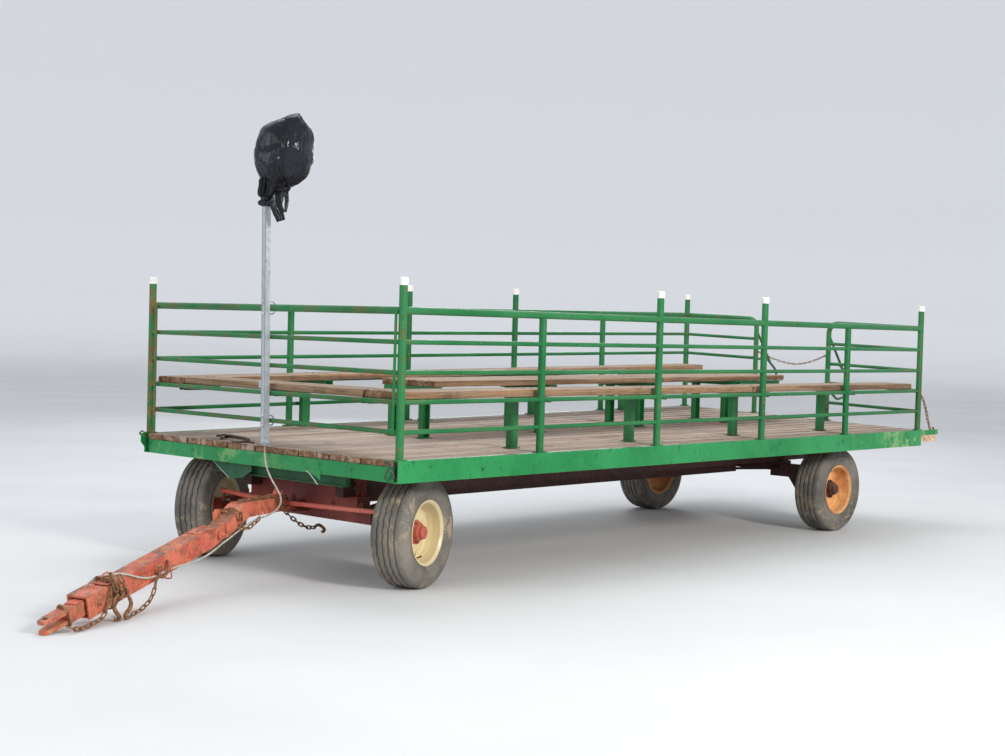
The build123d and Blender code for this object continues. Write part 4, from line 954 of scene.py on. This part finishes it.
# knot and the two loose tails on its left side
def ribbon(mesh, pts, widths, thick=0.0016, seed=0, curl=0.5):
    line = smooth_line([Vector(p) for p in pts], 9)
    n = len(line)
    rows = []
    ref = Vector((0.72, 0.69, 0.0)).normalized()
    for i, p in enumerate(line):
        tan = (line[min(n - 1, i + 1)] - line[max(0, i - 1)]).normalized()
        t = i / (n - 1)
        w = np.interp(t, [k / (len(widths) - 1) for k in range(len(widths))], widths)
        across = tan.cross(ref).normalized()
        ang = curl * math.sin(t * 5 + seed)
        nrm = tan.cross(across)
        across = across * math.cos(ang) + nrm * math.sin(ang)
        nrm = tan.cross(across)
        top, bot = [], []
        m_ = 11
        for j in range(m_):
            s = j / (m_ - 1) * 2 - 1
            wav = 0.22 * w * math.sin(s * 5.5 + seed + t * 3) + 0.12 * w * mnoise.noise(Vector((s * 3 + seed, t * 7, seed)))
            q = p + across * (s * w * (1 + 0.12 * mnoise.noise(Vector((t * 9, s, seed))))) + nrm * wav
            q -= tan * (0.010 * abs(s) * (t > 0.85)) * mnoise.noise(Vector((s * 4, seed, 2)))
            top.append(q + nrm * thick / 2)
            bot.append(q - nrm * thick / 2)
        rows.append(top + bot[::-1])
    mesh.grid(rows, cap=True)


def path_seen(points):
    # places as seen in the picture, each nearer than the tie by its third value
    return [seen(u, v, TIE, n) for u, v, n in points]


# two tails below the gather, one of them a folded loop, and the twisted neck between gather and bunch
ribbon(bag, path_seen([(281, 186, 0.075), (275.5, 195, 0.085), (275.5, 205, 0.083), (278.5, 213.5, 0.079), (281, 221, 0.075)]), [0.014, 0.024, 0.032, 0.033, 0.031, 0.026], seed=1.0, curl=0.35)
ribbon(bag, path_seen([(285, 187, 0.085), (281.5, 196, 0.092), (280.5, 205, 0.090), (283.5, 212.5, 0.084)]), [0.012, 0.018, 0.017, 0.013, 0.008], seed=4.2, curl=0.7)
ribbon(bag, path_seen([(286, 187, 0.080), (286.5, 194, 0.078), (286.5, 203, 0.076), (285.5, 212, 0.080)]), [0.009, 0.012, 0.013, 0.012, 0.008], seed=2.6, curl=0.5)
bag.tube(smooth_line(path_seen([(287.5, 183.5, 0.070), (285, 188.5, 0.084), (280, 189.5, 0.088), (273, 186.5, 0.080), (268, 183.0, 0.060)]), 6),
         [0.010, 0.012, 0.013, 0.0145, 0.015, 0.0155, 0.0150, 0.0145, 0.014, 0.0145, 0.015, 0.0155, 0.016, 0.017, 0.0175, 0.018, 0.018, 0.018, 0.018, 0.018, 0.018, 0.018, 0.018, 0.018, 0.018][:25], n=12)
bag_o = bag.obj("lamp_bag_film", BAG, sharp=180)
bm_v = bag_o.data
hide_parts("lamp_bag")
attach(bag_o, "wagon")
tie = Mesh()
for k in range(3):
    ring = []
    for i in range(28):
        a = 2 * math.pi * i / 28
        ring.append(TIE + Vector((math.cos(a) * 0.0335, math.sin(a) * 0.0335, (k - 1) * 0.006 + 0.002 * math.sin(3 * a + k))))
    tie.tube(ring, 0.0032, n=8, closed=True)
tie.obj("bag_tie", PLUG, "wagon", "plug_black")

# ---- pole hardware ---------------------------------------------------------
hw_ = Mesh()
LEAN = math.tan(math.radians(1.4))
for z, w in ((1660.0, 39.0), (961.0, 30.0)):
    yb = 57 - (z - 820) * LEAN
    x0 = 3063 + 19
    hw_.plate([P(x0, yb - 11, z - w - 13), P(x0, yb + 11, z - w - 13), P(x0, yb + 11, z + w + 13), P(x0, yb - 11, z + w + 13)], 0.003)
    for k in (w, -w):
        hw_.bolt(P(x0 + 3, yb, z + k), (1, 0, 0), 0.013, washer=True)
# tab at the pole's foot and its bolt
hw_.plate([P(3044, 78, 812), P(3084, 78, 812), P(3084, 78, 846), P(3044, 78, 846)], 0.003)
hw_.plate([P(3084, 78, 812), P(3084, 96, 808), P(3044, 96, 808), P(3044, 78, 812)], 0.003)
hw_.bolt(P(3082.5, 60, 836), (1, 0, 0), 0.014, stud=0.006)
hw_.bolt(P(3066, 81, 830), (0, 1, 0), 0.012, stud=0.006)
hw_.obj("pole_hardware", GALV, "wagon", "galvanised")
fold = Mesh()
for dy in (15.2, -15.2):
    fold.tube([P(3082.0, 57 + dy - (z - 820) * LEAN, z) for z in (832.0, 1200.0, 1640.0, 2290.0)], 0.0011, n=6)
fold.tube([P(3082.4, 57 + 2 - (836 - 820) * LEAN, 836), P(3083.6, 57 + 2 - (836 - 820) * LEAN, 836)], 0.006, n=12)
fold.obj("pole_folds", STEEL_OLD, "wagon")

# ---- bolts and nuts on benches, axles, head and tongue ---------------------
LEFT_FRAMES, CENTRE_FRAMES, RIGHT_FRAMES = [1770.0, 560.0, -700.0, -1935.0], [1745.0, 560.0, -628.0, -1790.0], [1769.0, 534.0, -726.0, -1941.0]
bb = Mesh()
for x in LEFT_FRAMES:
    for y in (915, 1005, 1075, 1140):
        bb.disc(P(x - 38 + (y % 11), y, 1192.4), (0, 0, 1), 0.0075, 0.002, 0, 12)
for x in RIGHT_FRAMES:
    for y in (-1140, -1060, -990, -915):
        bb.disc(P(*right_tilt(x - 38 + (y % 9), y, 1192.6)), (0, 0, 1), 0.0075, 0.002, 0, 12)
for x in CENTRE_FRAMES:
    for y in (-280, -218, -150, -88, -20, 55, 120, 175):
        bb.disc(P(*centre_tilt(x - 38 + (y % 9), y, 1202.6)), (0, 0, 1), 0.0075, 0.002, 0, 12)
for y in (-872, 40, 872):
    for x in (2760, 2820, 2895, 2960):
        bb.disc(P(x, y, 1192.4), (0, 0, 1), 0.0075, 0.002, 0, 12)
bb.obj("bench_bolts", STEEL_OLD, "wagon")

fb = Mesh()
for xs, y, yf in ((LEFT_FRAMES, 905, 885), (CENTRE_FRAMES, 78, 53), (CENTRE_FRAMES, -224, -249), (RIGHT_FRAMES, -1152, -1180)):
    for x in xs:
        z = DECK_TOP + lift(x - 95, yf - 80) + 6.2
        for k in (5, -82):
            fb.bolt(P(x + k, y, z), (0, 0, 1), 0.011)
for s in (1, -1):
    for dz in (470, 560, 610):
        fb.bolt(P(2688, s * (450 + 38 + 7), dz), (1, 0, 0), 0.020)
        fb.bolt(P(-2088, s * (450 + 38 + 7), dz), (1, 0, 0), 0.020)
fb.obj("floor_bolts", STEEL_OLD, "wagon")

ax_ = Mesh()
for y in (-560, -300, 300, 560):
    ax_.bolt(P(2704, y, 452), (1, 0, 0), 0.022, stud=0.008)
for s in (1, -1):
    ax_.disc(P(2648, s * 700, 411 - 0.5), (0, 0, 1), 0.020, 0.007, 0, 18)
    ax_.bolt(P(2648, s * 700, 411), (0, 0, 1), 0.018, washer=False)
# stubs of old brackets between the axle and the bolster
for y in (150, 196):
    ax_.tube([P(2712, y, 392), P(2724, y + 6, 402), P(2724, y + 40, 406), P(2712, y + 46, 396)], 0.005, n=8)
ax_.bolt(P(2783, 0, 456), (0, 0, 1), 0.030, stud=0.012)
ax_.obj("axle_bolts", R_GEAR, "wagon", "gear_maroon")

hd = Mesh()
# nuts of the tie-rod studs, hinge pin heads, weld beads, ribs of the head
for s in (1, -1):
    hd.bolt(H(150, 35 * s, 467), (0, 0, 1), 0.024, stud=0.008)
hd.obj("head_bolts", STEEL_OLD, "steering_head")
hw2 = Mesh()
hw2.tube([H(195 + 8 * i, 57.5, 481 + 0.6 * math.sin(i)) for i in range(55)], 0.003, n=6)
hw2.plate([H(186, -30, 488), H(222, -26, 488), H(222, 26, 488), H(186, 30, 488)], 0.010)
hw2.bolt(H(204, 0, 498), (0, 0, 1), 0.034, stud=0.014)
hw2.tube([H(214, 38, 489), H(214, 40, 512), H(206, 44, 522), H(196, 40, 512), H(196, 38, 489)], 0.006, n=8)
# bent flange and bolt on the left side below the latch ear
hw2.plate([H(690, 57, 430), H(770, 52, 420), H(770, 52, 345), H(690, 57, 352)], 0.006)
hw2.bolt(H(730, 61, 385), H(730, 80, 385) - H(730, 61, 385), 0.022, stud=0.008)
hw2.obj("head_fittings", R_TONG, "steering_head", "tongue_red")

side = (H(0, 1, 0) - H(0, 0, 0)).normalized()
tn = Mesh()
tn.disc(T(0, 68, 0), side, 0.020, 0.006, 0, 18)
tn.bolt(T(0, 73, 0), side, 0.026, stud=0.006)
tn.bolt(T(1160, 65, 4), side, 0.026, stud=0.012)
tn.bolt(T(1110, 0, 65), T(0, 0, 1) - T(0, 0, 0), 0.022, stud=0.004)
tn.bolt(T(640, 56, 10), side, 0.018)
tn.bolt(T(300, 56, -8), side, 0.018)
upt = (T(0, 0, 1) - T(0, 0, 0)).normalized()
for x in (90, 108, 1150, 1172):
    tn.tube([T(x, -56, 57), T(x, 0, 58.5), T(x, 56, 57)], 0.0028, n=6)
# ragged rust edge plates: strap over the beam's rear end and the stop ahead of the collar
tn.plate([T(96, -50, 56.5), T(180, -44, 56.5), T(180, 44, 56.5), T(96, 50, 56.5)], 0.006)
tn.plate([T(1010, -58, 60), T(1060, -58, 62), T(1060, 58, 62), T(1010, 58, 60)], 0.007)
tn.plate([T(1240, -36, 39), T(1300, -34, 39), T(1300, 34, 39), T(1240, 36, 39)], 0.006)
tn.obj("tongue_fittings", R_TONG, "tongue", "tongue_red")

# ---- chains ----------------------------------------------------------------
def sag(a, b, drop, n=9):
    a, b = Vector(a), Vector(b)
    return [a.lerp(b, i / (n - 1)) - Vector((0, 0, drop * (1 - (2 * i / (n - 1) - 1) ** 2))) for i in range(n)]


ch = Mesh()
ya, yb_ = 308, -410
ch.chain([P(-3020, 308, 1404), P(-3024, 200, 1360), P(-3026, 100, 1330), P(-3026, 0, 1316), P(-3026, -120, 1326), P(-3026, -263, 1361), P(-3024, -360, 1394), P(-3020, -410, 1414)], 0.0055, 0.027, n=6, seg=10)
ch.tube([P(-3000, 308, 1404), P(-3012, 300, 1396), P(-3028, 304, 1398), P(-3040, 318, 1408)], 0.004, n=7)
ch.tube([P(-3000, -410, 1412), P(-3012, -402, 1406), P(-3028, -404, 1406), P(-3040, -420, 1414)], 0.004, n=7)
# rear left corner: bolt, chain that hangs out to the step, and a hook at the step's end


def on_y(u, v, y):
    # the place that shows at (u, v) on the upright plane y
    d = right * ((u - 502.5) / 1606.13) - upv * ((v - 378.0) / 1606.13) - back
    return CAM + d * ((P(0, y, 0).y - CAM.y) / d.y)


ch.chain([on_y(u, v, 1222) for u, v in ((920.8, 395.5), (922.6, 398.5), (924.6, 404.5), (926.2, 411.5), (927.6, 419.0), (929.0, 425.5), (930.0, 429.5))], 0.0078, 0.034, n=6, seg=10)
ch.bolt(P(-3044, 1222, 1094), (-1, 0, 0), 0.018)
ch.tube(smooth_line([on_y(u, v, 1224) for u, v in ((929.8, 429.0), (930.6, 430.2), (932.0, 430.6), (933.2, 429.8), (933.4, 428.4), (932.6, 427.6))], 5), 0.0075, n=9)
ch.obj("gate_chains", CHAIN, "wagon")

hc = Mesh()
# chain lying in the head, the one hanging by the axle with its hook
hc.chain([H(620, 20, 496), H(560, 6, 497), H(500, 16, 497), H(440, 2, 497), H(380, 14, 498), H(330, 30, 498), H(300, 52, 494), H(285, 66, 470), H(270, 74, 440), H(235, 82, 410),
          H(195, 92, 372), H(150, 100, 345), H(95, 108, 312), H(40, 116, 290), H(-20, 122, 276), H(-70, 124, 272)], 0.009, 0.042, n=7, seg=12)
hk = [H(-70, 124, 272), H(-92, 126, 282), H(-118, 128, 284), H(-150, 130, 272), H(-176, 130, 258), H(-190, 130, 246), H(-182, 128, 234), H(-164, 128, 236)]
hc.tube(smooth_line(hk, 6), 0.010, n=9)
# loops wrapped over the nose of the head
for k, s0 in enumerate((705, 735)):
    loop = [H(s0, 66, 330 + 22), H(s0 + 6, 68, 395), H(s0 + 10, 60, 452 - (s0 - 640) * 0.45 + 24), H(s0 + 18, 20, 452 - (s0 - 640) * 0.45 + 30), H(s0 + 20, -30, 452 - (s0 - 640) * 0.45 + 30), H(s0 + 10, -66, 430), H(s0, -68, 360)]
    hc.chain(loop, 0.009, 0.042, n=7, seg=12, twist=k)
hc.chain([H(735, 68, 352), H(690, 74, 340), H(640, 76, 342), H(590, 74, 356), H(545, 72, 372), H(505, 70, 386)], 0.009, 0.042, n=7, seg=12)
hc.obj("head_chains", CHAIN, "steering_head")

tc_ = Mesh()
# hitch chains: bundle round the beam, the hanging loop, the two big hooks and the run on the ground
def around(x, extra=0.0, off=0.0):
    q = 0.5 + extra
    h = 58 + 8 + extra
    return [T(x, 66 + off, -40), T(x + 4, 68 + off, 20), T(x + 8, 52, h + 6), T(x + 6, 0, h + 8), T(x, -52, h + 6), T(x - 4, -68 - off, 20), T(x - 2, -68 - off, -40), T(x, -40, -h - 4), T(x + 2, 40, -h - 4)]


for k, x in enumerate((984, 1016)):
    a = around(x, extra=3 * k)
    tc_.chain(a + [a[0]], 0.009, 0.042, n=7, seg=12, twist=0.5 * k)


def TS(s, o, z):
    return H(s, o, z)


tc_.chain([TS(1530, 78, 222), TS(1560, 80, 196), TS(1586, 82, 152), TS(1598, 84, 110), TS(1625, 86, 72), TS(1662, 88, 45), TS(1720, 90, 22), TS(1770, 92, 10), TS(1815, 94, 8)], 0.0085, 0.040, n=7, seg=12)
tc_.chain([TS(1975, 72, 244), TS(1972, 84, 210), TS(1962, 90, 176), TS(1950, 94, 150)], 0.009, 0.042, n=7, seg=12)
tc_.chain([TS(1905, 74, 226), TS(1892, 84, 196), TS(1880, 90, 168), TS(1872, 92, 140)], 0.009, 0.042, n=7, seg=12)
def beside(u, v, o):
    # the place that shows at (u, v) on the upright plane o to the left of the tongue's middle
    d = right * ((u - 502.5) / 1606.13) - upv * ((v - 378.0) / 1606.13) - back
    n_ = (H(0, 1, 0) - H(0, 0, 0)).normalized()
    return CAM + d * ((H(0, o, 0) - CAM).dot(n_) / d.dot(n_))


def hook_seen(points, radii, o, eye):
    pts = [beside(u, v, o + k) for u, v, k in points]
    line = smooth_line(pts, 7)
    for q in line:
        q.z = max(q.z, 0.0085)
    tc_.tube(line, [0.001 * float(np.interp(i / (len(line) - 1), [k / (len(radii) - 1) for k in range(len(radii))], radii)) for i in range(len(line))], n=12)
    e = beside(*eye[:2], o)
    tc_.tube([e + right * (0.019 * math.cos(a_)) + upv * (0.024 * math.sin(a_)) for a_ in [2 * math.pi * i / 16 for i in range(16)]], 0.0075, n=9, closed=True)


run = [beside(u, v, o) for u, v, o in ((112.0, 588.0, 76), (111.0, 593.5, 80), (109.3, 600.3, 86), (107.1, 608.3, 90), (104.2, 615.0, 94), (100.3, 619.6, 98), (93.5, 623.2, 100), (85.5, 627.2, 100), (78.7, 629.4, 100), (72.0, 628.4, 96), (67.5, 627.0, 88))]
for q in run:
    q.z = max(q.z, 0.0095)
tc_.chain(run, 0.009, 0.042, n=7, seg=12)
# two long grab hooks that hang side by side and rest on the ground
hook_seen([(118.2, 594.5, 0), (115.2, 598.5, 4), (113.7, 604.0, 8), (115.2, 610.5, 8), (118.2, 615.0, 6), (119.6, 618.6, 2), (117.8, 621.8, -4), (115.2, 620.6, -8), (114.6, 617.6, -8)], [7.5, 9.5, 11.0, 11.5, 11.5, 11, 9.5, 7.0, 4.0], 98, (119.6, 593.0))
hook_seen([(126.0, 593.0, 0), (129.2, 597.5, 4), (131.0, 603.0, 8), (129.8, 608.6, 8), (126.8, 612.6, 6), (125.4, 616.2, 2), (127.6, 619.8, -4), (130.4, 619.4, -8), (131.0, 616.2, -8)], [7.5, 9.5, 11.0, 11.5, 11.5, 11, 9.5, 7.0, 4.0], 104, (124.6, 591.6))
# side hook welded ahead of the cable guide
bent_hook = [TS(1452, 60, 242), TS(1462, 78, 238), TS(1472, 88, 216), TS(1492, 90, 186), TS(1520, 86, 166), TS(1548, 84, 172), TS(1552, 82, 196)]
tc_.tube(smooth_line(bent_hook, 6), 0.008, n=9)
# ring round the hitch bar
ringp = []
for i in range(26):
    a = 2 * math.pi * i / 26
    ringp.append(T(1352 + 20 * math.cos(a), 52 * math.cos(a + 0.3), 50 * math.sin(a)))
tc_.tube(ringp, 0.0075, n=9, closed=True)
for v in range(len(tc_.v)):
    x_, y_, z_ = tc_.v[v]
    if z_ < 0.002:
        tc_.v[v] = (x_, y_, 0.002 + (z_ - 0.002) * 0.05 if z_ > -0.02 else 0.0015)
tc_.obj("tongue_chains", CHAIN, "tongue")

# ---- cable ties ------------------------------------------------------------
def tie_ring(s, body, name, zoff=0.0, horizontal=False):
    t = Mesh()
    i = min(range(len(LINE)), key=lambda q: (LINE[q] - H(s, 67, 0)).xy.length)
    c, tan = LINE[i], (LINE[i + 1] - LINE[i - 1]).normalized()
    u = (Vector((0, 0, 1)) - tan * tan.z).normalized()
    w = tan.cross(u)
    ring = [c + (u * math.cos(a) + w * math.sin(a)) * 0.0072 for a in [2 * math.pi * k / 18 for k in range(18)]]
    t.tube(ring, 0.0016, n=6, closed=True)
    t.tube([c + u * 0.008, c + u * 0.017 + w * 0.003, c + u * 0.030 + w * 0.010], [0.0022, 0.0012, 0.0010], n=6)
    t.obj(name, CAP, body, "cap_white")


tie_ring(455, "steering_head", "cable_tie_1")
tie_ring(520, "steering_head", "cable_tie_2")

# ---- small green fittings at the deck corners ------------------------------
gf = Mesh()
# upright flat bar beside the front left post
strip = Mesh()
strip.plate([P(3044, 1196, 952), P(3062, 1196, 952), P(3060, 1200, 1668), P(3042, 1200, 1668)], 0.006)
strip.plate([P(3048, -1148, 812), P(3048, -1122, 812), P(3048, -1122, 1664), P(3048, -1148, 1664)], 0.005)
strip.obj("post_strip", G_RAIL, "wagon", "rail_green")
# bracket at the front right corner with a wire hook, tab and bent rod below the front channel
gf.plate([P(3050, -1236, 800), P(3092, -1226, 800), P(3092, -1226, 742), P(3050, -1236, 700)], 0.006)


def on_x(u, v, x):
    # the place that shows at (u, v) on the upright plane x
    d = right * ((u - 502.5) / 1606.13) - upv * ((v - 378.0) / 1606.13) - back
    return CAM + d * ((P(x, 0, 0).x - CAM.x) / d.x)


def on_z(u, v, z):
    d = right * ((u - 502.5) / 1606.13) - upv * ((v - 378.0) / 1606.13) - back
    return CAM + d * ((P(0, 0, z).z - CAM.z) / d.z)


gf.plate([on_x(303.0, 468.0, 3046), on_x(320.5, 470.0, 3046), on_x(319.5, 480.0, 3046), on_x(315.5, 476.5, 3046), on_x(309.0, 472.5, 3046)], 0.005)
gf.obj("corner_fittings", G_CHAN, "wagon", "channel_green")
under = Mesh()
under.plate([on_x(213.0, 459.5, 2962), on_x(229.5, 478.5, 2962), on_x(243.0, 477.5, 2962), on_x(252.0, 471.0, 2962), on_x(252.0, 463.0, 2962)], 0.005)
under.obj("frame_gusset", G_DARK, "wagon", "frame_dark_green")
wire = Mesh()
wire.tube([on_x(213.5, 460.5, 2968), on_x(221.0, 469.0, 2968), on_x(229.5, 478.0, 2968)], 0.0035, n=8)
wire.tube(smooth_line([on_x(306.0, 470.5, 3051), on_x(309.0, 473.0, 3051), on_x(313.0, 478.0, 3051), on_x(317.5, 484.5, 3051)], 5), 0.0035, n=8)
wire.obj("bent_wires", GALV, "wagon", "galvanised")
latch = Mesh()
a_, b_ = on_z(221.5, 438.6, 810), on_z(248.5, 440.2, 810)
mid_ = [on_z(u, v, 811) for u, v in ((221.5, 438.4), (224.0, 436.6), (228.5, 436.0), (234.0, 436.6), (240.5, 437.6), (246.0, 438.8), (248.5, 440.4))]
latch.tube(smooth_line(mid_, 5), 0.0105, n=10)
latch.tube(smooth_line([on_z(216.5, 435.8, 807), on_z(220.0, 435.5, 808), on_z(224.0, 436.0, 810), on_z(229.0, 436.4, 812)], 5), 0.006, n=8)
latch.tube(smooth_line([on_z(231.5, 441.3, 807), on_z(238.0, 442.0, 806), (on_z(247.0, 441.8, 806)), on_z(254.0, 442.6, 806)], 5), 0.0065, n=8)
latch.disc(mid_[1] + Vector((0, 0, 0.008)), (0, 0, 1), 0.020, 0.008, 0, 16)
latch.obj("loose_latch", STEEL_OLD, "wagon")
bh = Mesh()
bh.tube(smooth_line([P(3060, -1232, 784), P(3080, -1252, 792), P(3076, -1290 + 44, 808), P(3058, -1246, 812)], 6), 0.005, n=8)
bh.chain([P(3057, 1150, 792), P(3062, 1172, 776), P(3064, 1188, 752), P(3060, 1204, 724), P(3056, 1212, 702)], 0.008, 0.036, n=7, seg=12)
bh.tube(smooth_line([P(3056, 1186, 764), P(3068, 1176, 740), P(3070, 1160, 716), P(3060, 1150, 694), P(3056, 1168, 684)], 6), 0.0065, n=8)
bh.obj("corner_hooks", G_DARK, "wagon", "frame_dark_green")
